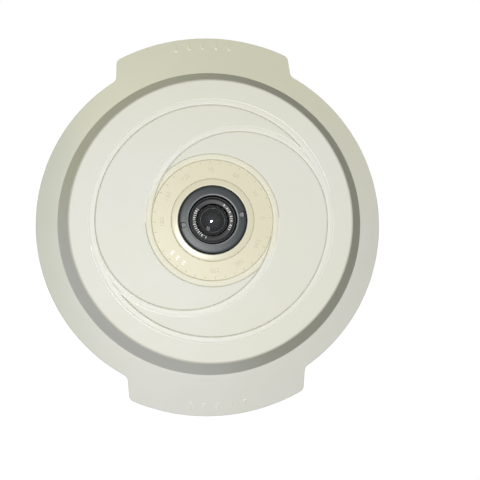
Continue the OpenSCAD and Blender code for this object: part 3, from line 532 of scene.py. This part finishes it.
# Lighter line on the lock ring's inner bevel: painted highlight.
LIP_HIGHLIGHT = surface("painted highlight on the ring lip", srgb(112, 116, 117), srgb(78, 82, 84), 0.4, texture="turning",
                      scale=5000, depth=0.001, drift_scale=500)
GROUND_EDGE = surface("ground glass rim", srgb(84, 89, 90), srgb(66, 71, 73), 0.6, depth=0.002,
                      drift_scale=800)
BARE_METAL = surface("blasted notch floor", srgb(137, 134, 140), srgb(120, 118, 124), 0.6,
                     texture="brushing", scale=2500, depth=0.004, specular=0.3)


def paint(piece, *materials):
    piece.data.materials.clear()
    for material in materials:
        piece.data.materials.append(material)


SLOT_OF = {part["node"]: part["material_slot"] for part in frame["record"]["subparts"]}
BODY_OF = {name: node["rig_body"] for name, node in frame["nodes"].items()}
for name, node in frame["nodes"].items():
    blackened = name in ("aperture_stop", "lens_spacer")
    paint(node, MATTE_BLACK if blackened else FINISHES[SLOT_OF[name]])


def stand_in(piece, *names, settle=True):
    """The piece takes the place, body and finish of CAD nodes."""
    if not piece.data.materials:
        paint(piece, FINISHES[SLOT_OF[names[0]]])
    if settle:
        settle_normals(piece)
    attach(piece, BODY_OF[names[0]])
    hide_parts(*names)
    return piece


def from_axis(spot):
    return math.hypot(spot.x, spot.y)


def rounded(a, b, c, radius, steps):
    """Arc that rounds the corner at b between points a and c, in the plane."""
    a, b, c = Vector(a), Vector(b), Vector(c)
    u, v = (a - b).normalized(), (c - b).normalized()
    half = math.acos(max(-1, min(1, u.dot(v)))) / 2
    middle = b + (u + v).normalized() * radius / math.sin(half)
    first, last = b + u * radius / math.tan(half), b + v * radius / math.tan(half)
    start = math.atan2(first.y - middle.y, first.x - middle.x)
    turn = (math.pi - 2 * half) * (1 if (first - middle).cross(last - middle) > 0 else -1)
    return [(middle.x + radius * math.cos(start + turn * i / steps),
             middle.y + radius * math.sin(start + turn * i / steps)) for i in range(steps + 1)]


def meet(p, m, q, n):
    """Where the line through p with slope m crosses the line through q with slope n."""
    r = (q[1] - p[1] + m * p[0] - n * q[0]) / (m - n)
    return (r, p[1] + m * (r - p[0]))


# Cover

BRIM_R, EAR_R, FOOT_R, CROWN_R = 75, 84.5, 64.5, 58
FACE_Z, CROWN_Z, FOOT_Z, EDGE_Z = 38.4, 37.4, 23.4, 15.8
WALL = 2.2
EAR_HALF_W, EAR_CORNER, EAR_ROOT = 38.5, 3, 3
BRIM_SLOPE = (FOOT_Z - EDGE_Z) / (BRIM_R - FOOT_R)
WALL_SLOPE = (CROWN_Z - FOOT_Z) / (FOOT_R - CROWN_R)
FACE_SLOPE = (FACE_Z - CROWN_Z) / CROWN_R
BRIM_DROP = WALL / math.cos(math.atan(BRIM_SLOPE))
WALL_RUN = WALL / math.sin(math.atan(WALL_SLOPE))
LARGE_RIB, TAN_R, COLLAR_R, HOLE_R = 47.5, 24.75, 16.75, 14.1
RECESS = 0.7
HALF_R, HALF_SHIFT = (LARGE_RIB + TAN_R) / 2, (LARGE_RIB - TAN_R) / 2
# Section of the collar, as distance in from its edge and height above the face
COLLAR = [(0.03, 0), (0.1, 0.04), (0.25, 0.08), (0.6, 0.12), (1.1, 0.165), (1.7, 0.217), (2.2, 0.26),
          (2.36, 0.26), (2.5, 0.22), (2.6, 0.12)]
SKIRT_R, SKIRT_T, SKIRT_Z = 60.76, 1.6, 19.15
LUG_IN, LUG_LOW, LUG_HIGH, LUG_SPAN = 59.16, 19.75, 21.75, 12
GRIP_W, GRIP_L, GRIP_H, GRIP_COUNT, GRIP_PITCH = 1.3, 4.5, 0.35, 5, 6


def face_at(r):
    return FACE_Z - FACE_SLOPE * r


def brim_at(r):
    return EDGE_Z + BRIM_SLOPE * (BRIM_R - r)


def quarter_outline():
    """Brim and ear outline, from the X axis to the Y axis, without its last point."""
    root = Vector((EAR_HALF_W + EAR_ROOT, 0))
    root.y = math.sqrt((BRIM_R + EAR_ROOT) ** 2 - root.x ** 2)
    root_turn = math.atan2(root.y, root.x)
    corner = Vector((EAR_HALF_W - EAR_CORNER, 0))
    corner.y = math.sqrt((EAR_R - EAR_CORNER) ** 2 - corner.x ** 2)
    corner_turn = math.atan2(corner.y, corner.x)
    points = []
    brim_steps, root_steps, side_steps, corner_steps, ear_steps = 36, 8, 4, 9, 16
    for i in range(brim_steps):
        a = root_turn * i / brim_steps
        points.append((BRIM_R * math.cos(a), BRIM_R * math.sin(a)))
    for i in range(root_steps):
        a = math.pi + root_turn * (1 - i / root_steps)
        points.append((root.x + EAR_ROOT * math.cos(a), root.y + EAR_ROOT * math.sin(a)))
    for i in range(side_steps):
        points.append((EAR_HALF_W, root.y + (corner.y - root.y) * i / side_steps))
    for i in range(corner_steps):
        a = corner_turn * i / corner_steps
        points.append((corner.x + EAR_CORNER * math.cos(a), corner.y + EAR_CORNER * math.sin(a)))
    for i in range(ear_steps):
        a = corner_turn + (math.pi / 2 - corner_turn) * i / ear_steps
        points.append((EAR_R * math.cos(a), EAR_R * math.sin(a)))
    return points


def whole_outline():
    quarter = quarter_outline()
    half = quarter + [(0, EAR_R)] + [(-x, y) for x, y in reversed(quarter[1:])]
    return half + [(-x, -y) for x, y in half]


# Sections of the raised rings, as distance out from the inner foot and height above the face
RIDGE = [(3.1, 0), (3.0, 0.008), (2.66, 0.05), (2.6, 0.055), (2.54, 0.056), (2.48, 0.046), (2.42, 0.024),
         (2.36, -0.01), (2.12, -0.15), (2.07, -0.15), (2.02, 0.03), (1.95, 0.085), (1.82, 0.105),
         (1.2, 0.12), (0.6, 0.12), (0.22, 0.1), (0.06, 0.04), (0, -0.06)]
SMALL_RIDGE = [(3.1, 0), (2.68, 0.02), (2.58, 0.0), (2.4, -0.26), (2.35, -0.26), (2.17, 0.02),
               (2.06, 0.06), (1.9, 0.08), (1.2, 0.09), (0.4, 0.08), (0.16, 0.05), (0.05, 0), (0, -0.08)]
RIDGE_W, BEAD_IN, BEAD_OUT, BAND_OUT = 3.1, 2.38, 2.68, 2.06
GROOVE_W, GROOVE_DEEP = 0.46, 0.42


def ridge(inner, section, groove=True):
    """Raised ring, from its outer bead to its inner side and the groove at its foot."""
    points = [(inner + out, face_at(inner + out) + up) for out, up in section]
    if groove:
        floor = face_at(inner) - GROOVE_DEEP
        points += [(inner - 0.03, floor + 0.26), (inner - GROOVE_W / 2 + 0.03, floor),
                   (inner - GROOVE_W / 2 - 0.03, floor), (inner - GROOVE_W, face_at(inner) - 0.04),
                   (inner - GROOVE_W - 0.08, face_at(inner - GROOVE_W - 0.08))]
    return points


def ring_to(radius, height, now):
    """Extrudes the selected ring and takes it to a new radius and height."""
    bpy.ops.mesh.extrude_region_move(TRANSFORM_OT_translate={"value": (0, 0, (height - now[1]) * MM)})
    scale = radius / now[0]
    bpy.ops.transform.resize(value=(scale, scale, 1), center_override=(0, 0, 0))
    return (radius, height)


def pick_edges(piece, wanted):
    """Selects the edges whose two ends both satisfy the test, in millimetres."""
    bpy.ops.mesh.select_mode(type="EDGE")
    bpy.ops.mesh.select_all(action="DESELECT")
    bpy.ops.object.mode_set(mode="OBJECT")
    mesh = piece.data
    inside = [wanted(v.co / MM) for v in mesh.vertices]
    for edge in mesh.edges:
        edge.select = inside[edge.vertices[0]] and inside[edge.vertices[1]]
    bpy.ops.object.mode_set(mode="EDIT")


def build_cover():
    foot, crown, tan = (FOOT_R, FOOT_Z), (CROWN_R, CROWN_Z), (TAN_R, face_at(TAN_R))
    edge = (EAR_R, brim_at(EAR_R))
    collar_z = face_at(COLLAR_R)
    in_foot = meet((FOOT_R, FOOT_Z - BRIM_DROP), -BRIM_SLOPE, (FOOT_R - WALL_RUN, FOOT_Z), -WALL_SLOPE)
    in_crown = meet((FOOT_R - WALL_RUN, FOOT_Z), -WALL_SLOPE, (CROWN_R, CROWN_Z - WALL), -FACE_SLOPE)
    skin = rounded(edge, foot, crown, 0.8, 5) + rounded(foot, crown, tan, 1.4, 8)
    skin += ridge(LARGE_RIB, RIDGE) + ridge(TAN_R, SMALL_RIDGE, groove=False)
    skin += [(TAN_R, tan[1] - RECESS), (COLLAR_R, collar_z - RECESS), (COLLAR_R, collar_z - 0.2)]
    skin += [(COLLAR_R - inward, collar_z + up) for inward, up in COLLAR]
    skirt_out, edge_round = SKIRT_R + SKIRT_T, 0.2
    skin += [(HOLE_R, collar_z + 0.02), (HOLE_R, face_at(HOLE_R) - WALL), in_crown,
             (SKIRT_R, in_foot[1] + WALL_SLOPE * (in_foot[0] - SKIRT_R)), (SKIRT_R, SKIRT_Z + edge_round),
             (SKIRT_R + edge_round, SKIRT_Z), (skirt_out - edge_round, SKIRT_Z),
             (skirt_out, SKIRT_Z + edge_round),
             (skirt_out, in_foot[1] + WALL_SLOPE * (in_foot[0] - skirt_out)), in_foot]
    outline = whole_outline()
    turns = [math.atan2(y, x) for x, y in outline]
    piece = begin("front_cover_shell")
    first = skin[0]
    trace([(first[0] * math.cos(a), first[0] * math.sin(a), first[1]) for a in turns], True)
    merge_seams()
    bpy.ops.mesh.select_all(action="SELECT")
    now = first
    for radius, height in skin[1:]:
        now = ring_to(radius, height, now)
    bpy.ops.object.mode_set(mode="OBJECT")

    rim = begin("rim")
    trace([(x, y, brim_at(math.hypot(x, y))) for x, y in outline], True)
    merge_seams()
    bpy.ops.mesh.select_all(action="SELECT")
    bpy.ops.mesh.extrude_region_move(TRANSFORM_OT_translate={"value": (0, 0, -BRIM_DROP * MM)})
    bpy.ops.object.mode_set(mode="OBJECT")
    piece = join("front_cover_shell", [piece, rim])
    bpy.ops.object.mode_set(mode="EDIT")

    def level(v, radius, height):
        return abs(from_axis(v) - radius) < 0.02 and abs(v.z - height) < 0.02

    def on_rim(v, drop):
        r = from_axis(v)
        return r > BRIM_R - 0.1 and abs(v.z - brim_at(r) + drop) < 0.05

    for ring, drop in ((first, 0), (in_foot, BRIM_DROP)):
        pick_edges(piece, lambda v: level(v, *ring) or on_rim(v, drop))
        bpy.ops.mesh.bridge_edge_loops()
    tidy_mesh()
    for drop, width, segments in ((0, 0.55, 4), (BRIM_DROP, 0.25, 2)):
        pick_edges(piece, lambda v: on_rim(v, drop))
        bpy.ops.mesh.bevel(offset=width * MM, segments=segments, affect="EDGES", clamp_overlap=False)
    tidy_mesh()
    return finish(piece, 32)


def half_ring(name, section, tilt):
    """Half of a turned ring about a point beside the lens axis, tilted to lie on the sloping face."""
    piece = lathe(name, [(HALF_R + out, FACE_Z + up) for out, up in section], 240)
    bpy.ops.object.mode_set(mode="EDIT")
    bpy.ops.mesh.select_all(action="SELECT")
    bpy.ops.mesh.bisect(plane_co=(0, 0, 0), plane_no=(0, 1, 0), use_fill=True, clear_inner=True)
    tidy_mesh()
    bpy.ops.object.mode_set(mode="OBJECT")
    location = (HALF_SHIFT - math.sin(tilt) * FACE_Z, 0, face_at(HALF_R) - math.cos(tilt) * FACE_Z)
    return set_place(piece, location, (0, tilt, 0))


def add_half_rings(cover):
    tilt = math.atan((face_at(TAN_R) - face_at(LARGE_RIB)) / (2 * HALF_R))
    narrower, sunk = 0.95, -0.5
    bar = [(out * narrower, up) for out, up in RIDGE[1:-1]]
    bar += [(0, 0.01), (0, sunk), (RIDGE[1][0] * narrower, sunk)]
    groove = [(0.02, 0.6), (0.02, -0.1), (-GROOVE_W / 2 + 0.03, -GROOVE_DEEP),
              (-GROOVE_W / 2 - 0.03, -GROOVE_DEEP), (-GROOVE_W, -0.04), (-GROOVE_W - 0.1, 0.03),
              (-GROOVE_W - 0.1, 0.6)]
    for section, operation in ((groove, "DIFFERENCE"), (bar, "UNION")):
        upper = half_ring("half_ring", section, tilt)
        lower = turned(copy(upper, "half_ring_lower"), 180)
        combine(cover, join("half_rings", [upper, lower]), operation)
    return cover


def add_lugs(cover):
    """Three bayonet lugs inside the skirt."""
    section = [(LUG_IN, LUG_LOW), (SKIRT_R + 0.6, LUG_LOW), (SKIRT_R + 0.6, LUG_HIGH), (LUG_IN, LUG_HIGH)]
    for middle in (60, 180, 300):
        combine(cover, bevelled(sector("lug", section, middle, LUG_SPAN), 0.15), "UNION")


def add_grips(cover):
    """Rounded bars on each ear, fanned about the lens axis."""
    radius, steps = (BRIM_R + EAR_R) / 2, 10
    reach = (GRIP_L - GRIP_W) / 2
    end = [(GRIP_W / 2 * math.cos(a), reach + GRIP_W / 2 * math.sin(a))
           for a in (math.pi * i / steps for i in range(steps + 1))]
    bar = bevelled(prism("grip_bar", end + [(-x, -y) for x, y in end], -0.8, GRIP_H), 0.18, 3)
    set_place(bar, (0, radius, brim_at(radius)), (-math.atan(BRIM_SLOPE), 0, 0))
    step = math.degrees(GRIP_PITCH / radius)
    bars = [turned(copy(bar, "grip_bar"), ear + (i - (GRIP_COUNT - 1) / 2) * step)
            for ear in (0, 180) for i in range(GRIP_COUNT)]
    bpy.data.objects.remove(bar)
    combine(cover, join("grip_bars", bars), "UNION")


cover = build_cover()
add_half_rings(cover)
add_lugs(cover)
add_grips(cover)
finish(cover, 32)
stand_in(cover, "front_cover")
COVER_FINISHES = {"brim": FINISHES["cover_plastic"], "collar": COLLAR_GLOSS, "wall": WALL_GRAIN_AND_SHADE,
                  "face": FACE_SATIN, "band": RING_BAND, "bead": RING_CREST, "groove": GROOVE_SHADE,
                  "cream band": CREAM_BAND}
paint(cover, *COVER_FINISHES.values())


def ring_distance(spot):
    """How far out a point is from the inner foot of the raised ring it lies on, if any."""
    for out in (from_axis(spot) - LARGE_RIB,
                math.hypot(spot.x - math.copysign(HALF_SHIFT, spot.y), spot.y) - HALF_R):
        if -GROOVE_W < out < RIDGE_W:
            return out
    return None


def part_of_cover(face):
    """Which part of the cover a face belongs to."""
    spot = face.center / MM
    radius = from_axis(spot)
    above = spot.z - face_at(radius)
    if CROWN_R + 0.2 < radius < FOOT_R - 0.1 and 0.2 < face.normal.z < 0.62:
        return "wall"
    if radius > CROWN_R + 0.8 or above < -RECESS - 0.1:
        return "brim"
    if radius < COLLAR_R + 0.05:
        return "collar"
    out = ring_distance(spot)
    if above < -0.06 and radius > TAN_R + 0.1:
        return "groove" if out is None or out < BAND_OUT else "face"
    if radius < TAN_R + 2.36:
        return "cream band"
    if out is None or out < 0 or out > BEAD_OUT:
        return "face"
    if out > BEAD_IN:
        return "bead"
    return "band" if out < BAND_OUT else "face"


for face in cover.data.polygons:
    face.material_index = list(COVER_FINISHES).index(part_of_cover(face))


# Ring round the lens, with a plain scale of degrees

def build_face_ring():
    inner, outer, edge = COLLAR_R + 0.08, TAN_R - 0.08, 0.2

    def top(r):
        return face_at(r) - 0.1

    ring = lathe("face_ring_turned", [
        (inner, face_at(inner) - RECESS), (outer, face_at(outer) - RECESS),
        (outer, top(outer) - 1.6 * edge), (outer - edge / 2, top(outer) - edge / 2),
        (outer - edge, top(outer)), (inner + edge, top(inner)),
        (inner + edge / 2, top(inner) - edge / 2), (inner, top(inner) - 1.6 * edge)])
    stand_in(ring, "face_ring")
    low, high, digits_r, tick_in, tick_out, tick_half = -0.2, 0.12, 20.4, 23.1, 24.2, 0.14
    painted_r, painted_turn, painted_step = 20.9, 225, 8.5
    marks = [number(str(turn), 2.7, high - low, digits_r, turn, top(digits_r) + (low + high) / 2)
             for turn in range(0, 360, 30) if turn not in (210, 240)]
    corners = [(tick_in, -tick_half), (tick_out, -tick_half), (tick_out, tick_half), (tick_in, tick_half)]
    tick = bevelled(prism("tick", corners, top(23.6) + low, top(23.6) + high), 0.05)
    marks += [turned(copy(tick, "tick"), turn) for turn in range(0, 360, 10)]
    bpy.data.objects.remove(tick)
    printed(finish(join("face_ring_scale", marks)), "face_ring", GREY_INK)
    digits = [number(digit, 2.5, 0.08, painted_r, painted_turn + painted_step * (1 - i),
                     top(painted_r) + 0.02, 0.05) for i, digit in enumerate(str(painted_turn))]
    printed(finish(join("face_ring_painted_number", digits)), "face_ring", WHITE_INK)


def printed(piece, node, ink):
    """Marks that ride with the node they are printed on."""
    paint(piece, ink)
    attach(piece, BODY_OF[node])


# Lens

RING_R, RING_IN_R, LIP_R, RING_Z, LIP_Z, RING_TOP = 13.8, 12.05, 9.85, 34.6, 37.8, 39.8
NOTCH_W, NOTCH_FLOOR, NOTCH_MIDDLE, NOTCH_OUT, NOTCH_TURN = 1.75, 38.6, 11.95, 12.75, 8
THREAD_R, BORE_R, BARREL_Z, FLANGE_Z, HEAD_TOP, HEAD_R = 8, 5.5, 31, 36.9, 37.9, 9.45
GLASS_R, DOME_TOP, NAME_R, NAME_Z, NAME_STEP = 7.2, 39.7, 8.65, 37.2, 6.9
STOP_R, FLANGE_R, SEAT_R, SEAT_Z = 4.65, 11, 7.25, NAME_Z - 1.7


def build_lock_ring():
    ring = lathe("lock_ring_turned", [
        (RING_IN_R, RING_Z), (RING_R - 0.15, RING_Z), (RING_R, RING_Z + 0.15), (RING_R, RING_TOP - 0.6),
        (RING_R - 0.06, RING_TOP - 0.45), (RING_R - 0.22, RING_TOP - 0.3), (RING_R - 0.5, RING_TOP - 0.2),
        (RING_R - 0.85, RING_TOP - 0.14), (12.4, RING_TOP - 0.11), (11.7, RING_TOP - 0.07),
        (11, RING_TOP - 0.035), (LIP_R + 0.5, RING_TOP), (LIP_R + 0.34, RING_TOP - 0.015),
        (LIP_R + 0.16, RING_TOP - 0.06), (LIP_R + 0.04, RING_TOP - 0.25), (LIP_R, RING_TOP - 0.6),
        (LIP_R, LIP_Z + 0.15), (LIP_R + 0.15, LIP_Z), (RING_IN_R, LIP_Z)])
    steps = 16
    half = [(NOTCH_MIDDLE - NOTCH_W / 2 * math.sin(a), -NOTCH_W / 2 * math.cos(a))
            for a in (math.pi * i / steps for i in range(steps + 1))]
    outline = half + [(NOTCH_OUT, NOTCH_W / 2), (NOTCH_OUT, -NOTCH_W / 2)]
    for turn in (NOTCH_TURN, NOTCH_TURN + 180):
        notch = turned(prism("notch", outline, NOTCH_FLOOR, RING_TOP + 1, flare=1.75), turn)
        combine(ring, notch, "DIFFERENCE")
    finish(ring, 25)
    stand_in(ring, "lock_ring")
    paint(ring, FINISHES["lock_ring_black"], BARE_METAL, LIP_HIGHLIGHT, MATTE_BLACK)
    notch_floor, lip_highlight, outer_edge_shade = 1, 2, 3
    for face in ring.data.polygons:
        corners = [ring.data.vertices[i].co / MM for i in face.vertices]
        nearest, furthest = min(map(from_axis, corners)), max(map(from_axis, corners))
        if face.normal.z > 0.9 and abs(face.center.z / MM - NOTCH_FLOOR) < 0.02:
            face.material_index = notch_floor
        # The lighter line round the lip is painted highlight.
        elif nearest > LIP_R + 0.1 and furthest < LIP_R + 0.55 and corners[0].z > RING_TOP - 0.1:
            face.material_index = lip_highlight
        # The outer edge is painted matte black: painted shade for the dark gap round the ring.
        elif nearest > RING_R - 0.23:
            face.material_index = outer_edge_shade


def unlit_part_of_barrel(face):
    """Whether a face is in the bore, in the gap round the name ring or on top of the flange."""
    spot = face.center / MM
    radius = from_axis(spot)
    in_bore = radius < SEAT_R + 0.05 and BARREL_Z + 0.1 < spot.z < HEAD_TOP - 0.1 and face.normal.z > -0.5
    in_gap = 8.6 < radius < 8.97 and spot.z > NAME_Z - 0.1
    on_flange = radius > HEAD_R + 0.01 and face.normal.z > 0.5
    return in_bore or in_gap or on_flange


def build_barrel():
    pitch, count, root = 0.5, 10, THREAD_R - 0.25
    thread = []
    for i in range(count):
        z = BARREL_Z + 0.4 + i * pitch
        thread += [(root, z), (THREAD_R, z + 0.2 * pitch + 0.08), (THREAD_R, z + 0.6 * pitch)]
    barrel = lathe("lens_barrel_turned", [(STOP_R, BARREL_Z), (THREAD_R - 0.3, BARREL_Z)] + thread + [
        (root, FLANGE_Z - 0.2), (root, FLANGE_Z), (FLANGE_R - 0.1, FLANGE_Z), (FLANGE_R, FLANGE_Z + 0.1),
        (FLANGE_R, FLANGE_Z + 0.5), (FLANGE_R - 0.1, FLANGE_Z + 0.6), (9.6, FLANGE_Z + 0.3),
        (HEAD_R + 0.02, FLANGE_Z + 0.3), (HEAD_R, HEAD_TOP - 0.14), (HEAD_R - 0.06, HEAD_TOP - 0.03),
        (HEAD_R - 0.14, HEAD_TOP), (8.98, HEAD_TOP), (8.9, HEAD_TOP - 0.04), (8.85, HEAD_TOP - 0.2),
        (8.8, HEAD_TOP - 0.5), (8.7, NAME_Z), (SEAT_R, NAME_Z), (SEAT_R, SEAT_Z), (BORE_R, SEAT_Z),
        (BORE_R, BARREL_Z + 0.4), (STOP_R, BARREL_Z + 0.4)])
    stand_in(barrel, "lens_barrel")
    barrel.data.materials.append(MATTE_BLACK)
    for face in barrel.data.polygons:
        face.material_index = int(unlit_part_of_barrel(face))


def build_name_ring():
    """Printed ring with a plain scale of distances."""
    ring = lathe("name_ring_turned", [
        (7.3, NAME_Z), (NAME_R, NAME_Z), (NAME_R, HEAD_TOP - 0.55), (NAME_R - 0.27, HEAD_TOP - 0.5),
        (NAME_R - 0.3, HEAD_TOP - 0.06), (NAME_R - 0.36, HEAD_TOP - 0.01),
        (6.78, HEAD_TOP - 0.07), (6.65, HEAD_TOP - 0.1), (6.6, HEAD_TOP - 0.14), (6.62, HEAD_TOP - 0.18),
        (6.9, HEAD_TOP - 0.32)])
    stand_in(ring, "name_ring")
    digits = []
    for text, start in (("0.3|0.5|0.8|1", 50), ("1.5|2|3|5|10|20|", 246)):
        for i, character in enumerate(text):
            turn = start - NAME_STEP * i
            digits.append(number(character, 1.25, 0.06, 7.55, turn, HEAD_TOP - 0.02, 0.03))
    printed(finish(join("name_ring_scale", digits)), "name_ring", WHITE_INK)


def build_front_glass():
    """Domed glass, hollow behind."""
    dome_rise = 2.5
    radius = (GLASS_R ** 2 + dome_rise ** 2) / (2 * dome_rise)
    hollow, hollow_z, steps = 4.905, 33.32, 40
    outside = [(radius * math.sin(a), DOME_TOP - radius + radius * math.cos(a))
               for a in (math.asin(GLASS_R / radius) * (1 - i / steps) for i in range(steps + 1))]
    mouth = math.acos((SEAT_Z - hollow_z) / hollow)
    inside = [(hollow * math.sin(a), hollow_z + hollow * math.cos(a))
              for a in (mouth * i / steps for i in range(steps + 1))]
    outside[-1], inside[0] = (0, DOME_TOP), (0, hollow_z + hollow)
    rim = hollow * math.sin(mouth)
    profile = inside + [(rim + 0.13, SEAT_Z - 0.08), (rim + 0.3, SEAT_Z), (GLASS_R - 0.1, SEAT_Z),
                        (GLASS_R, SEAT_Z + 0.1)] + outside
    glass_piece = lathe("front_glass_ground", profile, closed=False)
    stand_in(glass_piece, "front_glass", settle=False)
    glass_piece.data.materials.append(GROUND_EDGE)
    for face in glass_piece.data.polygons:
        spot = face.center / MM
        on_rim = rim < from_axis(spot) < rim + 0.3 and spot.z < SEAT_Z
        face.material_index = int(on_rim)


build_face_ring()
build_lock_ring()
build_barrel()
build_name_ring()
build_front_glass()


# Parts that keep the shape of their CAD solid, with softened edges

SOFT_EDGES = {
    "mounting_plate": 0.35, "rear_housing": 0.25, "housing_screws": 0.12, "lower_board": 0.1,
    "network_socket": 0.15, "network_shield": 0.08, "power_transformer": 0.2, "power_inductor": 0.25,
    "capacitors": 0.2, "network_isolator": 0.12, "card_socket": 0.08, "reset_switch": 0.12,
    "board_link": 0.12, "board_spacers": 0.15, "board_screws": 0.1, "main_board": 0.1, "processor": 0.08,
    "heat_sink": 0.12, "memory_chips": 0.08, "clock_crystal": 0.12, "battery_holder": 0.12,
    "clock_battery": 0.2, "service_header": 0.1, "chip_resistors": 0.06, "sensor_board": 0.1,
    "image_sensor": 0.06, "filter_case": 0.1, "lens_mount": 0.2, "lens_screws": 0.08,
    "aperture_stop": 0.03, "lens_spacer": 0.05, "middle_glass": 0.05, "rear_glass": 0.05,
    "filter_carrier": 0.08, "filter_lever": 0.1, "reset_button": 0.1, "memory_card": 0.12,
}


def soften(name, width):
    """A copy of a CAD node with its edges rounded stands in for it."""
    node = frame["nodes"][name]
    piece = bpy.data.objects.new(name + "_finished", node.data.copy())
    bpy.context.scene.collection.objects.link(piece)
    alone(piece)
    bpy.ops.object.mode_set(mode="EDIT")
    merge_seams()
    bpy.ops.mesh.dissolve_limited(angle_limit=math.radians(0.5))
    bpy.ops.object.mode_set(mode="OBJECT")
    bevelled(piece, width, 2, 35)
    stand_in(finish(piece, 40), name, settle="glass" not in name)


for name, width in SOFT_EDGES.items():
    soften(name, width)


# Floor, light and camera

def seen_or_mirrored(tree, path):
    """1 for what the camera sees, straight or by way of gloss and glass."""
    seen = reckon(tree, "MAXIMUM", path["Is Camera Ray"], path["Is Glossy Ray"])
    return reckon(tree, "MAXIMUM", seen, path["Is Transmission Ray"])


def blend(tree, share, first, second):
    return add(tree, "ShaderNodeMixShader", {0: share, 1: first.outputs[0], 2: second.outputs[0]})


def build_floor():
    """Pale floor that glows white for the camera, and is clear from below and for lamps."""
    bpy.ops.object.select_all(action="DESELECT")
    bpy.ops.mesh.primitive_plane_add(size=6, location=(0, 0, -0.0002))
    floor = bpy.context.object
    floor.name = "floor"
    material, tree, target = new_material("pale floor")
    path = add(tree, "ShaderNodeLightPath").outputs
    lit = add(tree, "ShaderNodeBsdfDiffuse", {"Color": (0.3, 0.3, 0.3, 1)})
    level = ramp(tree, vector_of(tree, "LENGTH", "Value", spot_on(tree)), 0.3, 1.3, 0.75, 1)
    glow = add(tree, "ShaderNodeEmission", {"Color": WHITE, "Strength": level})
    dark = add(tree, "ShaderNodeEmission", {"Strength": 0})
    extra = blend(tree, seen_or_mirrored(tree, path), dark, glow)
    total = add(tree, "ShaderNodeAddShader", {0: lit.outputs[0], 1: extra.outputs[0]})
    underside = add(tree, "ShaderNodeNewGeometry").outputs["Backfacing"]
    open_side = reckon(tree, "MAXIMUM", underside, path["Is Shadow Ray"])
    side = blend(tree, open_side, total, add(tree, "ShaderNodeBsdfTransparent"))
    tree.links.new(side.outputs[0], target)
    floor.data.materials.append(material)


def build_world():
    """Soft light all round, in front of what the camera sees as white."""
    world = bpy.data.worlds.new("studio")
    bpy.context.scene.world = world
    world.use_nodes = True
    tree = world.node_tree
    tree.nodes.clear()
    path = add(tree, "ShaderNodeLightPath").outputs
    soft = add(tree, "ShaderNodeBackground", {"Color": WHITE, "Strength": 0.085})
    white = add(tree, "ShaderNodeBackground", {"Color": WHITE, "Strength": 1})
    both = blend(tree, seen_or_mirrored(tree, path), soft, white)
    out = tree.nodes.new("ShaderNodeOutputWorld")
    tree.links.new(both.outputs[0], out.inputs["Surface"])


def lamp(name, tilt, azimuth, distance, size, share):
    """A round lamp aimed at the face; a share of 1 alone would show a colour as it is written."""
    data = bpy.data.lights.new(name, "AREA")
    data.shape = "DISK"
    data.size = size
    data.energy = share * (math.pi * distance) ** 2
    light = bpy.data.objects.new(name, data)
    bpy.context.scene.collection.objects.link(light)
    tilt, azimuth = math.radians(tilt), math.radians(azimuth)
    across = math.sin(tilt)
    away = Vector((across * math.cos(azimuth), across * math.sin(azimuth), math.cos(tilt)))
    light.location = Vector((0, 0, FACE_Z * MM)) + away * distance
    light.rotation_mode = "QUATERNION"
    light.rotation_quaternion = away.to_track_quat("Z", "Y")


def build_camera():
    data = bpy.data.cameras.new("camera")
    data.lens = 54.86
    data.sensor_width = 36
    data.clip_start, data.clip_end = 0.01, 20
    camera = bpy.data.objects.new("camera", data)
    bpy.context.scene.collection.objects.link(camera)
    camera.location = (-0.01378, -0.02229, 0.33432)
    camera.rotation_euler = [math.radians(a) for a in (2.846, -4.599, -2.607)]
    bpy.context.scene.camera = camera


build_floor()
build_world()
lamp("key lamp", tilt=6, azimuth=211, distance=1.2, size=0.2, share=0.81)
lamp("low lamp", tilt=37, azimuth=240, distance=0.9, size=0.26, share=0.08)
lamp("back lamp", tilt=172, azimuth=40, distance=1.2, size=0.6, share=0.5)
build_camera()

bpy.context.scene.view_settings.view_transform = "Standard"
